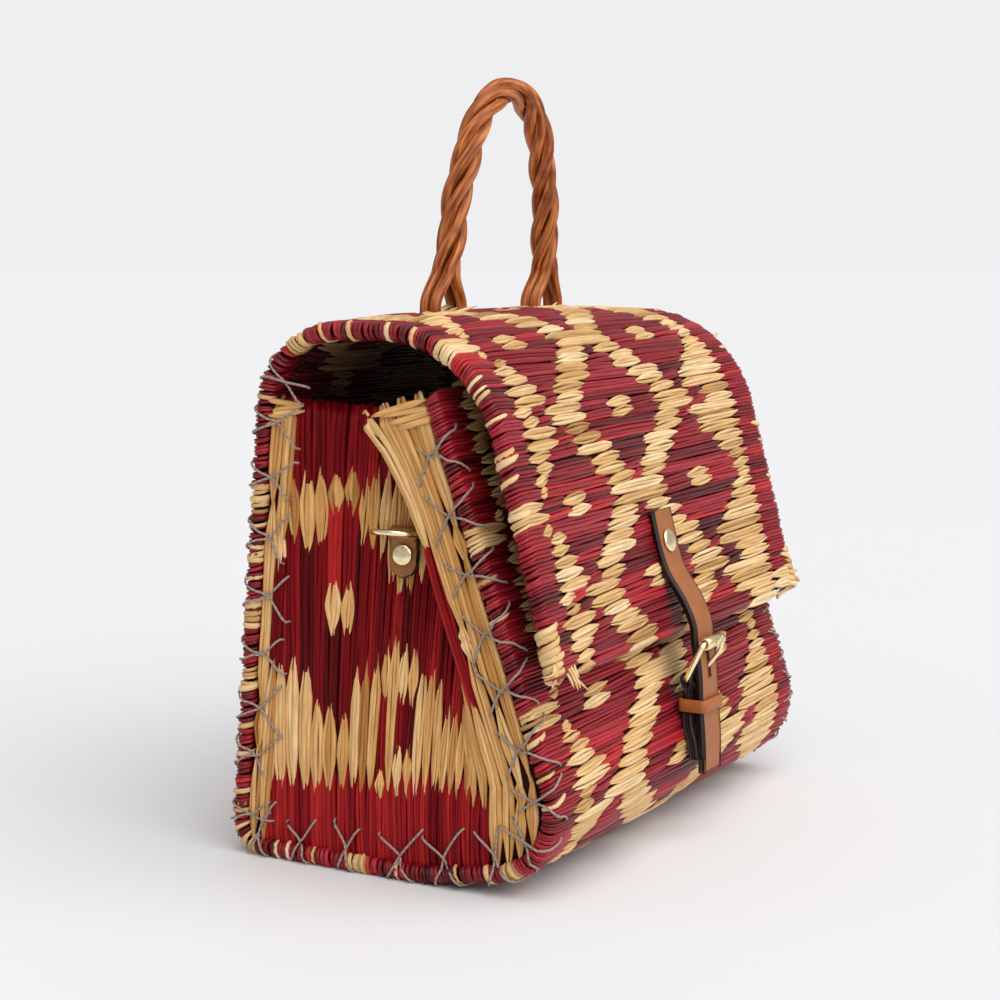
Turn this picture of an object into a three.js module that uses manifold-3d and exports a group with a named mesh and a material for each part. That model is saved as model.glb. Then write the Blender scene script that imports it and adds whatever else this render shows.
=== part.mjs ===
// A closed satchel woven of dyed reed, with a bow handle of twisted willow rods,
// a leather strap with a brass roller buckle, and a brass ring in a leather tab on each end.
// Millimetres, +Z up, +X along the length, front towards -Y, origin on the floor under the body.

import * as THREE from "three";
import { mergeVertices } from "three/addons/utils/BufferGeometryUtils.js";
import Module from "manifold-3d";

const wasm = await Module();
wasm.setup();

// Driving dimensions

const GAP = 0.3;

const BODY = {
  length: 272,
  wall: 8,
  height: 247,
  frontToeY: -100,
  backHeelY: 89,
  frontRimY: -24,
  frontRimZ: 219,
  frontCornerRadius: 36,
  frontLift: 5.5,
  flatFrontY: -16,
  backCornerRadius: 16,
  backLeanDeg: 4.9,
  shoulderRadius: 44,
  archRadius: 65,
  archY: 3.7,
  flapLeanDeg: 15,
  flapLength: 100,
};

// How far the mat swells (+) or sags (-) off its plain profile, a row for each section along the length.
// at runs from -1 at the left end to 1 at the right end.
const SECTIONS = [
  { at: -1.0, flap: 0, top: 0, front: 0, back: 0 },
  { at: -0.7, flap: -3.5, top: 1.5, front: 0.8, back: 1.2 },
  { at: -0.36, flap: -6, top: 2.6, front: 1.6, back: 2.4 },
  { at: -0.1, flap: -7, top: 3, front: 2, back: 3 },
  { at: 0.1, flap: -7, top: 3, front: 2, back: 3 },
  { at: 0.36, flap: -6, top: 2.6, front: 1.6, back: 2.4 },
  { at: 0.7, flap: -3.5, top: 1.5, front: 0.8, back: 1.2 },
  { at: 1.0, flap: 0, top: 0, front: 0, back: 0 },
];

const PANEL = {
  thickness: 6,
  clearance: 0.6,
  inset: 2.5,
  stripWidth: 24,
  foldTuck: 12,
  foldStartZ: 40,
  foldTopDepth: 30,
  topZ: 211,
};

// Levels of the end panel, from the base up. strip and crease lift the front border and the fold's edge
// above the level, widen and flare draw that edge back and out where the border's top turns outwards.
const PANEL_LEVELS = [
  { z: 8.6, strip: 0, crease: 0, widen: 0, flare: 0 },
  { z: 11, strip: 0, crease: 0, widen: 0, flare: 0 },
  { z: 16, strip: 0, crease: 0, widen: 0, flare: 0 },
  { z: 25, strip: 0, crease: 0, widen: 0, flare: 0 },
  { z: 40, strip: 0, crease: 0, widen: 0, flare: 0 },
  { z: 60, strip: 0, crease: 0, widen: 0, flare: 0 },
  { z: 85, strip: 0, crease: 0, widen: 0, flare: 0 },
  { z: 110, strip: 0, crease: 0, widen: 0, flare: 0 },
  { z: 130, strip: 0, crease: 0, widen: 0, flare: 0 },
  { z: 150, strip: 0, crease: 0, widen: 0, flare: 0 },
  { z: 170, strip: 0, crease: 0, widen: 1, flare: 0 },
  { z: 190, strip: 0, crease: -1, widen: 4, flare: 2 },
  { z: 201, strip: 2, crease: -3, widen: 7, flare: 4 },
  { z: 211, strip: 5, crease: -6, widen: 10, flare: 6 },
];

// The turns are counted as negative because the rods are laid left over right.
const HANDLE = {
  rods: 4,
  rodRadius: 2.65,
  ropeRadius: 4.25,
  turns: -3,
  span: 98,
  legSpread: 12,
  footY: 24,
  apexY: 15,
  apexZ: 362,
  squareness: 0.8,
  legDepth: 13,
  splitHeight: 20,
  steps: 64,
  sides: 8,
};

const STRAP = { width: 18, thickness: 3, topZ: 155, rivetZ: 140, leaveZ: 127, leaveOff: 1.4 };

// The strap's middle line where it hangs clear of the flap, down to its free end.
const STRAP_HANG = [
  { z: 114, y: -83.6 },
  { z: 103, y: -88.8 },
  { z: 94, y: -89.9 },
  { z: 85, y: -91.3 },
  { z: 76, y: -92.3 },
  { z: 64, y: -92.8 },
  { z: 52, y: -93.9 },
  { z: 42, y: -94.4 },
  { z: 32, y: -94.4 },
];

const BUCKLE = {
  hingeY: -86.5,
  hingeZ: 76,
  rollerY: -95,
  rollerZ: 94,
  wire: 1.4,
  halfWidth: 11.6,
  cornerRadius: 2.4,
  rollerRadius: 3,
  rollerLength: 19.4,
  prongRadius: 1.15,
  eyeRadius: 3.3,
  eyeWidth: 3,
};

// The lower strap end's middle line, from the buckle's hinge bar down the front wall.
const CHAPE = { width: 18, thickness: 4.4, leather: 2, slotWidth: 4.2, rivetZ: 58 };
const CHAPE_RUN = [
  { z: 73, y: -86.5 },
  { z: 64, y: -86.4 },
  { z: 54, y: -86.7 },
  { z: 46, y: -89 },
  { z: 38, y: -90.1 },
];

const KEEPER = { z: 64, height: 6, thickness: 1.8, halfWidth: 9.5, backY: -83.9, frontY: -94.8 };

const RIVET = { shankRadius: 1.6, holeRadius: 1.95, washerRadius: 3.2, washerThickness: 1.1 };
const FLAP_RIVET = { capRadius: 5.6, capHeight: 1.9 };
const CHAPE_RIVET = { capRadius: 4.2, capHeight: 1.2 };

const TAB = {
  y: 1,
  z: 153,
  width: 12.5,
  length: 19.4,
  thickness: 4.2,
  leather: 2,
  rivetDrop: 9.3,
  capRadius: 4.6,
  capHeight: 1.7,
};

// Each ring is wider than its tab and has slid a little towards the back.
const RING = { wire: 1.4, halfWidth: 11.3, slide: 2.8, reach: 13.5, bowSegments: 12, sides: 8 };

const COLOURS = {
  reed: { color: 0xb34a4f, roughness: 0.6, metalness: 0 },
  reedEnd: { color: 0xd9b878, roughness: 0.65, metalness: 0 },
  willow: { color: 0x9c4f22, roughness: 0.45, metalness: 0 },
  leather: { color: 0xa8683a, roughness: 0.55, metalness: 0 },
  brass: { color: 0xd8b766, roughness: 0.25, metalness: 1 },
};

// Small helpers for curves, lofts and cuts

const rad = THREE.MathUtils.degToRad;
const lerp = THREE.MathUtils.lerp;
const smooth = (value, low, high) => THREE.MathUtils.smoothstep(value, low, high);
const vec = (x, y, z) => new THREE.Vector3(x, y, z);

// Six times the enclosed volume has the sign of the winding.
function facesOut(geometry) {
  const position = geometry.getAttribute("position");
  const index = geometry.getIndex().array;
  const a = vec();
  const b = vec();
  const c = vec();
  let volume = 0;
  for (let i = 0; i < index.length; i += 3) {
    a.fromBufferAttribute(position, index[i]);
    b.fromBufferAttribute(position, index[i + 1]);
    c.fromBufferAttribute(position, index[i + 2]);
    volume += a.dot(b.cross(c));
  }
  return volume > 0;
}

function turnedInsideOut(geometry) {
  const index = geometry.getIndex();
  for (let i = 0; i < index.count; i += 3) {
    const second = index.getX(i + 1);
    index.setX(i + 1, index.getX(i + 2));
    index.setX(i + 2, second);
  }
  return geometry;
}

function outward(geometry) {
  return facesOut(geometry) ? geometry : turnedInsideOut(geometry);
}

function welded(geometry) {
  const bare = geometry.clone();
  bare.deleteAttribute("normal");
  bare.deleteAttribute("uv");
  return outward(mergeVertices(bare, 1e-3));
}

function meshFrom(points, triangles) {
  const geometry = new THREE.BufferGeometry().setFromPoints(points);
  geometry.setIndex(triangles);
  return outward(geometry);
}

// Skins equal rings of points one after another and closes the two ends, or joins the last ring to
// the first where endless. With capPairs a ring runs out along one face and back along the other.
function loft(rings, { endless = false, capPairs = false } = {}) {
  const count = rings[0].length;
  const triangles = [];
  const bands = endless ? rings.length : rings.length - 1;
  for (let i = 0; i < bands; i += 1) {
    const here = i * count;
    const next = ((i + 1) % rings.length) * count;
    for (let j = 0; j < count; j += 1) {
      const k = (j + 1) % count;
      triangles.push(here + j, here + k, next + k, here + j, next + k, next + j);
    }
  }
  if (!endless) {
    const last = (rings.length - 1) * count;
    for (const [start, flip] of [[0, true], [last, false]]) {
      for (const lid of lidTriangles(count, capPairs)) {
        const [a, b, c] = lid.map((corner) => start + corner);
        triangles.push(...(flip ? [a, c, b] : [a, b, c]));
      }
    }
  }
  return meshFrom(rings.flat(), triangles);
}

function lidTriangles(count, paired) {
  const lid = [];
  if (paired) {
    for (let j = 0; j < count / 2 - 1; j += 1) {
      const across = count - 1 - j;
      lid.push([j, j + 1, across - 1], [j, across - 1, across]);
    }
    return lid;
  }
  for (let j = 1; j < count - 1; j += 1) {
    lid.push([0, j, j + 1]);
  }
  return lid;
}

function circleShape(radius, sides) {
  const shape = new THREE.Shape();
  for (let i = 0; i < sides; i += 1) {
    const turn = (2 * Math.PI * i) / sides;
    const point = [radius * Math.cos(turn), radius * Math.sin(turn)];
    if (i === 0) {
      shape.moveTo(...point);
    } else {
      shape.lineTo(...point);
    }
  }
  shape.closePath();
  return shape;
}

function tube(curve, radius, steps, sides) {
  const options = { steps, extrudePath: curve, bevelEnabled: false };
  return welded(new THREE.ExtrudeGeometry(circleShape(radius, sides), options));
}

// A closed wire through points that lie in one plane with the given normal.
function wireLoop(points, normal, radius, sides) {
  const count = points.length;
  const rings = points.map((point, i) => {
    const before = points[(i + count - 1) % count];
    const after = points[(i + 1) % count];
    const along = after.clone().sub(before).normalize();
    const side = vec().crossVectors(along, normal).normalize();
    const ring = [];
    for (let j = 0; j < sides; j += 1) {
      const turn = (2 * Math.PI * (j + 0.5)) / sides;
      const reach = side.clone().multiplyScalar(radius * Math.cos(turn));
      ring.push(point.clone().add(reach).addScaledVector(normal, radius * Math.sin(turn)));
    }
    return ring;
  });
  return loft(rings, { endless: true });
}

// Lathes a closed profile of [radius, height] pairs about an axis through a point.
function turned(profile, point, axis, segments) {
  const lathe = new THREE.LatheGeometry(profile.map(([r, h]) => new THREE.Vector2(r, h)), segments);
  const place = new THREE.Quaternion().setFromUnitVectors(vec(0, 1, 0), axis);
  return welded(lathe.applyQuaternion(place).translate(point.x, point.y, point.z));
}

function peg(point, axis, radius, length, sides = 12) {
  const profile = [[0, -length / 2], [radius, -length / 2], [radius, length / 2], [0, length / 2]];
  return turned(profile, point, axis, sides);
}

// Extrudes an outline drawn in the YZ plane along X, centred on x.
function alongX(shape, width, x = 0) {
  const solid = new THREE.ExtrudeGeometry(shape, { depth: width, bevelEnabled: false, curveSegments: 10 });
  solid.translate(0, 0, -width / 2);
  solid.applyMatrix4(new THREE.Matrix4().makeBasis(vec(0, 1, 0), vec(0, 0, 1), vec(1, 0, 0)));
  return welded(solid.translate(x, 0, 0));
}

// The outline of a band of even thickness about a middle line in the YZ plane.
function bandShape(line, thickness) {
  const faces = [1, -1].map((side) =>
    line.map((point, i) => {
      const before = line[Math.max(i - 1, 0)];
      const after = line[Math.min(i + 1, line.length - 1)];
      const along = after.clone().sub(before).normalize();
      const reach = (side * thickness) / 2;
      return new THREE.Vector2(point.x - along.y * reach, point.y + along.x * reach);
    }),
  );
  return new THREE.Shape([...faces[0], ...faces[1].reverse()]);
}

function smoothLine(rows, steps) {
  const curve = new THREE.SplineCurve(rows.map((row) => new THREE.Vector2(row.y, row.z)));
  return curve.getPoints(steps);
}

function solidOf(geometry) {
  const body = welded(geometry);
  return new wasm.Manifold(
    new wasm.Mesh({
      numProp: 3,
      vertProperties: new Float32Array(body.getAttribute("position").array),
      triVerts: new Uint32Array(body.getIndex().array),
    }),
  );
}

function geometryOf(solid) {
  const mesh = solid.getMesh();
  const geometry = new THREE.BufferGeometry();
  geometry.setAttribute("position", new THREE.Float32BufferAttribute(Array.from(mesh.vertProperties), 3));
  geometry.setIndex(Array.from(mesh.triVerts));
  return geometry;
}

function cut(geometry, tools) {
  return geometryOf(tools.reduce((solid, tool) => solid.subtract(solidOf(tool)), solidOf(geometry)));
}

function joined(...geometries) {
  return geometryOf(geometries.map(solidOf).reduce((sum, solid) => sum.add(solid)));
}

function mirroredInX(geometry) {
  return turnedInsideOut(welded(geometry).applyMatrix4(new THREE.Matrix4().makeScale(-1, 1, 1)));
}

// The body's profile: the mat's outer face in the YZ plane, from the front rim round to the flap's tip

const backLean = rad(BODY.backLeanDeg);
const flapLean = rad(BODY.flapLeanDeg);
const frontRun = new THREE.Vector2(BODY.frontRimY - BODY.frontToeY, BODY.frontRimZ).normalize();

// The top is round at the back shoulder and, more widely, over the flap, with a short flat between them.
const shoulderZ = BODY.height - BODY.shoulderRadius;
const shoulderY = backOuterY(shoulderZ) - BODY.shoulderRadius / Math.cos(backLean);
const shoulder = new THREE.Vector2(shoulderY, shoulderZ);
const arch = new THREE.Vector2(BODY.archY, BODY.height - BODY.archRadius);

function backOuterY(z) {
  return BODY.backHeelY - z * Math.tan(backLean);
}

function frontOuterY(z) {
  return BODY.frontToeY + (z * frontRun.x) / frontRun.y;
}

// The centre of a round corner between the floor and a wall that would meet the floor at toeY.
function cornerCentre(toeY, inward, angle, radius) {
  return new THREE.Vector2(toeY + (inward * radius) / Math.tan(angle / 2), radius);
}

const frontSlope = Math.atan2(frontRun.y, frontRun.x);
const backSlope = Math.PI / 2 - backLean;
const frontCorner = cornerCentre(BODY.frontToeY, 1, frontSlope, BODY.frontCornerRadius);
frontCorner.addScaledVector(frontRun, BODY.frontLift / frontRun.y);
const backCorner = cornerCentre(BODY.backHeelY, -1, backSlope, BODY.backCornerRadius);

// The base lies flat from the back corner and then climbs a little to the raised front corner.
const flatFront = new THREE.Vector2(BODY.flatFrontY, 0);
const toCorner = frontCorner.clone().sub(flatFront);
const cornerSpread = Math.asin(BODY.frontCornerRadius / toCorner.length());
const baseClimb = Math.atan2(toCorner.y, -toCorner.x) - cornerSpread;

// Each profile point has its place, its outward normal and how much of each swelling reaches it.
function profile() {
  const points = [];
  const flat = { flap: 0, top: 0, front: 0, back: 0 };
  const add = (y, z, turn, share) => {
    points.push({ y, z, ny: Math.cos(turn), nz: Math.sin(turn), ...flat, ...share });
  };
  const line = (from, to, turn, steps, share) => {
    for (let i = 0; i < steps; i += 1) {
      const t = i / steps;
      add(lerp(from.x, to.x, t), lerp(from.y, to.y, t), turn, share(t));
    }
  };
  const arc = (centre, radius, start, end, steps, share) => {
    for (let i = 0; i < steps; i += 1) {
      const turn = lerp(start, end, i / steps);
      add(centre.x + radius * Math.cos(turn), centre.y + radius * Math.sin(turn), turn, share(i / steps));
    }
  };
  const none = () => ({});
  const onArc = (centre, radius, turn) =>
    new THREE.Vector2(centre.x + radius * Math.cos(turn), centre.y + radius * Math.sin(turn));

  const frontTurn = frontSlope + Math.PI / 2;
  const floorTurn = 1.5 * Math.PI;
  const backTurn = 2 * Math.PI + backLean;
  const flapTurn = 3 * Math.PI - flapLean;
  const topTurn = 2.5 * Math.PI;
  const rim = new THREE.Vector2(BODY.frontRimY, BODY.frontRimZ);
  const frontFoot = onArc(frontCorner, BODY.frontCornerRadius, frontTurn);
  const backFoot = onArc(backCorner, BODY.backCornerRadius, backTurn);
  const backTop = onArc(shoulder, BODY.shoulderRadius, backTurn);
  const flatBack = onArc(shoulder, BODY.shoulderRadius, topTurn);
  const flatFore = onArc(arch, BODY.archRadius, topTurn);
  const flapTop = onArc(arch, BODY.archRadius, flapTurn);
  const flapTip = new THREE.Vector2(
    flapTop.x - BODY.flapLength * Math.sin(flapLean),
    flapTop.y - BODY.flapLength * Math.cos(flapLean),
  );
  const climbTurn = floorTurn - baseClimb;
  const climbTop = onArc(frontCorner, BODY.frontCornerRadius, climbTurn);
  const floorBack = new THREE.Vector2(backCorner.x, 0);

  line(rim, frontFoot, frontTurn, 8, (t) => ({ front: smooth(t, 0, 0.5) }));
  arc(frontCorner, BODY.frontCornerRadius, frontTurn, climbTurn, 9, (t) => ({
    front: 1 - smooth(t, 0, 0.6),
  }));
  line(climbTop, flatFront, climbTurn, 3, none);
  line(flatFront, floorBack, floorTurn, 4, none);
  arc(backCorner, BODY.backCornerRadius, floorTurn, backTurn, 7, (t) => ({
    back: 0.3 * smooth(t, 0.5, 1),
  }));
  line(backFoot, backTop, backTurn, 8, (t) => ({ back: lerp(0.3, 1, Math.sin(Math.PI * t)) }));
  const over = (t) => ({
    back: 0.3 * (1 - smooth(t, 0, 0.4)),
    top: Math.sin(Math.PI * Math.min(t / 0.9, 1)),
    flap: 0.75 * smooth(t, 0.45, 1),
  });
  arc(shoulder, BODY.shoulderRadius, backTurn, topTurn, 8, (t) => over(0.37 * t));
  line(flatBack, flatFore, topTurn, 3, (t) => over(lerp(0.37, 0.51, t)));
  arc(arch, BODY.archRadius, topTurn, flapTurn, 10, (t) => over(lerp(0.51, 1, t)));
  line(flapTop, flapTip, flapTurn, 8, (t) => ({ flap: lerp(0.75, 1, t) }));
  add(flapTip.x, flapTip.y, flapTurn, { flap: 1 });
  return points;
}

const PROFILE = profile();

function swell(point, section) {
  const off = point.flap * section.flap + point.top * section.top;
  return off + point.front * section.front + point.back * section.back;
}

function wrapFace(section, depth) {
  const x = (section.at * BODY.length) / 2;
  return PROFILE.map((point) => {
    const off = swell(point, section) - depth;
    return vec(x, point.y + point.ny * off, point.z + point.nz * off);
  });
}

function wrapRing(section) {
  return [...wrapFace(section, 0), ...wrapFace(section, BODY.wall).reverse()];
}

function reedWrap() {
  return loft(SECTIONS.map(wrapRing), { capPairs: true });
}

const MIDDLE = SECTIONS[SECTIONS.length / 2];
const MIDDLE_FACE = wrapFace(MIDDLE, 0);

// The outer face's y at a height, along a falling stretch of the middle section.
function faceY(stretch, z) {
  const below = stretch.findIndex((point) => point.z <= z);
  const [high, low] = [stretch[below - 1], stretch[below]];
  return lerp(low.y, high.y, (z - low.z) / (high.z - low.z));
}

function flapOuterY(z) {
  return faceY(MIDDLE_FACE.slice(-9), z);
}

function frontFaceY(z) {
  return faceY(MIDDLE_FACE.slice(0, 14), z);
}

// End panels: a plate with a fold tucked behind its front border, deeper towards the top

// How far inside the mat's outer face the panel's edge runs.
const panelOff = BODY.wall + PANEL.clearance;

function panelFrontY(z) {
  const reach = BODY.frontCornerRadius - panelOff;
  if (z > frontCorner.y + reach * Math.cos(frontSlope)) {
    return frontOuterY(z) + panelOff / frontRun.y;
  }
  return frontCorner.x - Math.sqrt(Math.max(reach ** 2 - (z - frontCorner.y) ** 2, 0));
}

function panelBackY(z) {
  const corner = BODY.backCornerRadius - panelOff;
  const round = BODY.shoulderRadius - panelOff;
  if (z < backCorner.y) {
    return backCorner.x + Math.sqrt(Math.max(corner ** 2 - (z - backCorner.y) ** 2, 0));
  }
  if (z > shoulderZ + round * Math.sin(backLean)) {
    return shoulderY + Math.sqrt(round ** 2 - (z - shoulderZ) ** 2);
  }
  return backOuterY(z) - panelOff / Math.cos(backLean);
}

// How far the climbing base lifts the panel's lower levels at a given y.
function baseLift(y, z) {
  const climb = Math.max(BODY.flatFrontY - y, 0) * Math.tan(baseClimb);
  return 1.08 * climb * (1 - smooth(z, PANEL_LEVELS[0].z, PANEL.foldStartZ));
}

// The plate's outer face at one level: back edge, valley, crease and front edge, x measured inwards.
function panelLine(z) {
  const climb = THREE.MathUtils.clamp((z - PANEL.foldStartZ) / (PANEL.topZ - PANEL.foldStartZ), 0, 1);
  const depth = PANEL.foldTopDepth * climb;
  const frontY = panelFrontY(z);
  const backY = panelBackY(z);
  const span = backY - frontY;
  const creaseY = frontY + Math.min(PANEL.stripWidth, 0.3 * span);
  const valleyY = creaseY - PANEL.foldTuck * climb + Math.min(PANEL.foldTuck, 0.1 * span) * (1 - climb);
  return { backY, valleyY, creaseY, frontY, depth };
}

function panelRing(level) {
  const { backY, valleyY, creaseY, depth } = panelLine(level.z);
  const frontFoot = baseLift(frontCorner.x, level.z);
  const frontY = panelFrontY(level.z + level.strip + frontFoot);
  const middle = [
    new THREE.Vector2(0, backY),
    new THREE.Vector2(depth, valleyY),
    new THREE.Vector2(-level.flare, creaseY + level.widen),
    new THREE.Vector2(0, frontY),
  ];
  const lift = [
    0,
    1.3 * level.crease + baseLift(valleyY, level.z),
    level.crease + baseLift(creaseY, level.z),
    level.strip + frontFoot,
  ];
  const face = (off) =>
    middle.map((point, i) => {
      const place = mitred(middle, i, off);
      const x = -BODY.length / 2 + PANEL.inset + place.x;
      return vec(x, place.y, level.z + lift[i]);
    });
  return [...face(0), ...face(PANEL.thickness).reverse()];
}

// Moves a corner of an open line inwards (+x) by off, keeping both neighbouring legs parallel.
function mitred(line, i, off) {
  const normalOf = (a, b) => {
    const along = b.clone().sub(a).normalize();
    return new THREE.Vector2(-along.y, along.x);
  };
  const before = i > 0 ? normalOf(line[i - 1], line[i]) : normalOf(line[i], line[i + 1]);
  const after = i < line.length - 1 ? normalOf(line[i], line[i + 1]) : before;
  const middle = before.clone().add(after).normalize();
  const stretch = off / Math.max(middle.dot(before), 0.5);
  const moved = line[i].clone().addScaledVector(middle, stretch);
  if (i === 0 || i === line.length - 1) {
    moved.y = line[i].y;
  }
  return moved;
}

function endPanel() {
  return loft(PANEL_LEVELS.map(panelRing), { capPairs: true });
}

// A point of the left panel's main face, behind which the fold runs.
function panelFace(y, z) {
  const { backY, valleyY, depth } = panelLine(z);
  const share = (backY - y) / (backY - valleyY);
  return vec(-BODY.length / 2 + PANEL.inset + depth * share, y, z);
}

// Willow handle: rods laid like a rope along a bow, parted into two legs at each foot

// The top's outer height at a given y, near the middle of the length.
function topOuterZ(y) {
  const behind = y > shoulder.x;
  const radius = (behind ? BODY.shoulderRadius : BODY.archRadius) + MIDDLE.top;
  const off = behind ? y - shoulder.x : Math.min(y - arch.x, 0);
  return (behind ? shoulder.y : arch.y) + Math.sqrt(radius ** 2 - off ** 2);
}

// Half an ellipse with full flanks that stands on the top, with a straight length below each foot.
class BowCurve extends THREE.Curve {
  constructor() {
    super();
    this.arcLengthDivisions = 400;
    this.footZ = topOuterZ(HANDLE.footY);
    this.rise = HANDLE.apexZ - HANDLE.ropeRadius - HANDLE.rodRadius - this.footZ;
  }

  getPoint(t, target = vec()) {
    const speed = Math.PI * this.rise;
    const stub = HANDLE.legDepth / speed;
    const along = lerp(-stub, 1 + stub, t);
    const turn = Math.PI * THREE.MathUtils.clamp(along, 0, 1);
    const below = speed * Math.max(-along, along - 1, 0);
    const height = Math.sin(turn);
    const flank = Math.sign(Math.cos(turn)) * Math.abs(Math.cos(turn)) ** HANDLE.squareness;
    const x = (-HANDLE.span / 2) * flank;
    return target.set(x, lerp(HANDLE.footY, HANDLE.apexY, height), this.footZ + this.rise * height - below);
  }
}

const BOW = new BowCurve();

// Where a rod's leg stands: rods 0 and 1 share the inner leg of each foot, rods 2 and 3 the outer leg.
function legPlace(number, foot) {
  const inner = number < 2 ? 1 : -1;
  const back = number === 0 || number === 3 ? 1 : -1;
  return {
    x: foot * (HANDLE.span / 2 - inner * HANDLE.legSpread),
    y: HANDLE.footY + back * (HANDLE.rodRadius + GAP / 2),
  };
}

class RodCurve extends THREE.Curve {
  constructor(number) {
    super();
    this.number = number;
    this.length = BOW.getLength();
  }

  getPoint(t, target = vec()) {
    const along = this.length * t;
    const ropeStart = HANDLE.legDepth + HANDLE.splitHeight;
    const ropeLength = this.length - 2 * ropeStart;
    const laid = THREE.MathUtils.clamp((along - ropeStart) / ropeLength, 0, 1);
    const turn = 2 * Math.PI * (laid * HANDLE.turns + this.number / HANDLE.rods + 1 / 8);
    const heading = BOW.getTangentAt(t);
    const across = vec(0, 1, 0).addScaledVector(heading, -heading.y).normalize();
    const inward = vec().crossVectors(across, heading);
    BOW.getPointAt(t, target);
    const foot = Math.sign(target.x);
    target.addScaledVector(across, HANDLE.ropeRadius * Math.cos(turn));
    target.addScaledVector(inward, HANDLE.ropeRadius * Math.sin(turn));
    const fromFoot = Math.min(along, this.length - along);
    const split = 1 - smooth(fromFoot, HANDLE.legDepth + 2, ropeStart);
    const leg = legPlace(this.number, foot);
    target.x = lerp(target.x, leg.x, split);
    target.y = lerp(target.y, leg.y, split);
    return target;
  }
}

function handleRod(number) {
  return tube(new RodCurve(number), HANDLE.rodRadius, HANDLE.steps, HANDLE.sides);
}

function legHoles() {
  const holes = [];
  for (let number = 0; number < HANDLE.rods; number += 1) {
    for (const foot of [-1, 1]) {
      const { x, y } = legPlace(number, foot);
      holes.push(peg(vec(x, y, BOW.footZ), vec(0, 0, 1), HANDLE.rodRadius + GAP, 4 * HANDLE.legDepth));
    }
  }
  return holes;
}

// Rivets: a domed cap, a shank through what it holds, and a washer behind

function rivet(point, axis, grip, cap) {
  const back = -grip - RIVET.washerThickness;
  const profile = [
    [0, back],
    [RIVET.washerRadius, back],
    [RIVET.washerRadius, -grip],
    [RIVET.shankRadius, -grip],
    [RIVET.shankRadius, 0],
    [cap.capRadius, 0],
    [cap.capRadius * 0.96, cap.capHeight * 0.45],
    [cap.capRadius * 0.72, cap.capHeight * 0.85],
    [cap.capRadius * 0.35, cap.capHeight],
    [0, cap.capHeight],
  ];
  return turned(profile, point, axis, 16);
}

function rivetHole(point, axis, length) {
  return peg(point, axis, RIVET.holeRadius, 2 * length);
}

// Leather strap with its rivet on the flap

const strapOff = (GAP + STRAP.thickness / 2) / Math.cos(flapLean);

function strapLine() {
  const fixed = [STRAP.topZ, STRAP.rivetZ].map((z) => ({ z, y: flapOuterY(z) - strapOff }));
  const leave = { z: STRAP.leaveZ, y: flapOuterY(STRAP.leaveZ) - strapOff - STRAP.leaveOff };
  return smoothLine([...fixed, leave, ...STRAP_HANG], 34);
}

const flapNormal = vec(0, -Math.cos(flapLean), Math.sin(flapLean));
const flapSeat = vec(0, flapOuterY(STRAP.rivetZ), STRAP.rivetZ);
const flapGrip = BODY.wall + STRAP.thickness + 3 * GAP;
const flapRivetPoint = flapSeat.clone().addScaledVector(flapNormal, STRAP.thickness + 2 * GAP);

function flapStrap() {
  const band = alongX(bandShape(strapLine(), STRAP.thickness), STRAP.width);
  const slotHigh = BUCKLE.rollerZ - BUCKLE.hingeZ;
  const slot = new THREE.BoxGeometry(2 * BUCKLE.prongRadius + 1, 12, 0.5 * slotHigh);
  slot.translate(0, BUCKLE.hingeY - 5, BUCKLE.hingeZ + 0.3 * slotHigh);
  return cut(band, [slot, rivetHole(flapRivetPoint, flapNormal, flapGrip)]);
}

// Roller buckle: a wire frame, a roller on its upper bar and a prong on its hinge bar

function buckleFrame() {
  const up = vec(0, BUCKLE.rollerY - BUCKLE.hingeY, BUCKLE.rollerZ - BUCKLE.hingeZ);
  const height = up.length();
  up.normalize();
  const corner = BUCKLE.cornerRadius;
  const points = [];
  for (const [side, level, start] of [[1, 1, 0], [-1, 1, 90], [-1, 0, 180], [1, 0, 270]]) {
    const centreX = side * (BUCKLE.halfWidth - corner);
    const centreV = level === 1 ? height - corner : corner;
    for (const step of [0, 30, 60, 90]) {
      const turn = rad(start + step);
      const v = centreV + corner * Math.sin(turn);
      const foot = vec(centreX + corner * Math.cos(turn), BUCKLE.hingeY, BUCKLE.hingeZ);
      points.push(foot.addScaledVector(up, v));
    }
  }
  return wireLoop(points, vec().crossVectors(vec(1, 0, 0), up), BUCKLE.wire, 8);
}

// A short pipe about an axis along X.
function pipe(y, z, bore, radius, length, segments) {
  const half = length / 2;
  const profile = [[bore, -half], [radius, -half], [radius, half], [bore, half], [bore, -half]];
  return turned(profile, vec(0, y, z), vec(1, 0, 0), segments);
}

function buckleRoller() {
  const bore = BUCKLE.wire + GAP;
  return pipe(BUCKLE.rollerY, BUCKLE.rollerZ, bore, BUCKLE.rollerRadius, BUCKLE.rollerLength, 16);
}

function buckleProng() {
  const { hingeY, hingeZ, rollerY, rollerZ, prongRadius } = BUCKLE;
  const bore = BUCKLE.wire + GAP;
  const reach = BUCKLE.rollerRadius + GAP + prongRadius;
  const eye = pipe(hingeY, hingeZ, bore, BUCKLE.eyeRadius, BUCKLE.eyeWidth, 16);
  const run = new THREE.CatmullRomCurve3([
    vec(0, hingeY - 2, hingeZ + 1.7),
    vec(0, hingeY - 6.8, hingeZ + 7),
    vec(0, rollerY - reach + 0.1, rollerZ - 2.8),
    vec(0, rollerY - reach - 0.3, rollerZ + 3.2),
  ]);
  return joined(eye, tube(run, prongRadius, 9, 8));
}

// Lower strap end, folded round the hinge bar and riveted to the front wall

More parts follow.
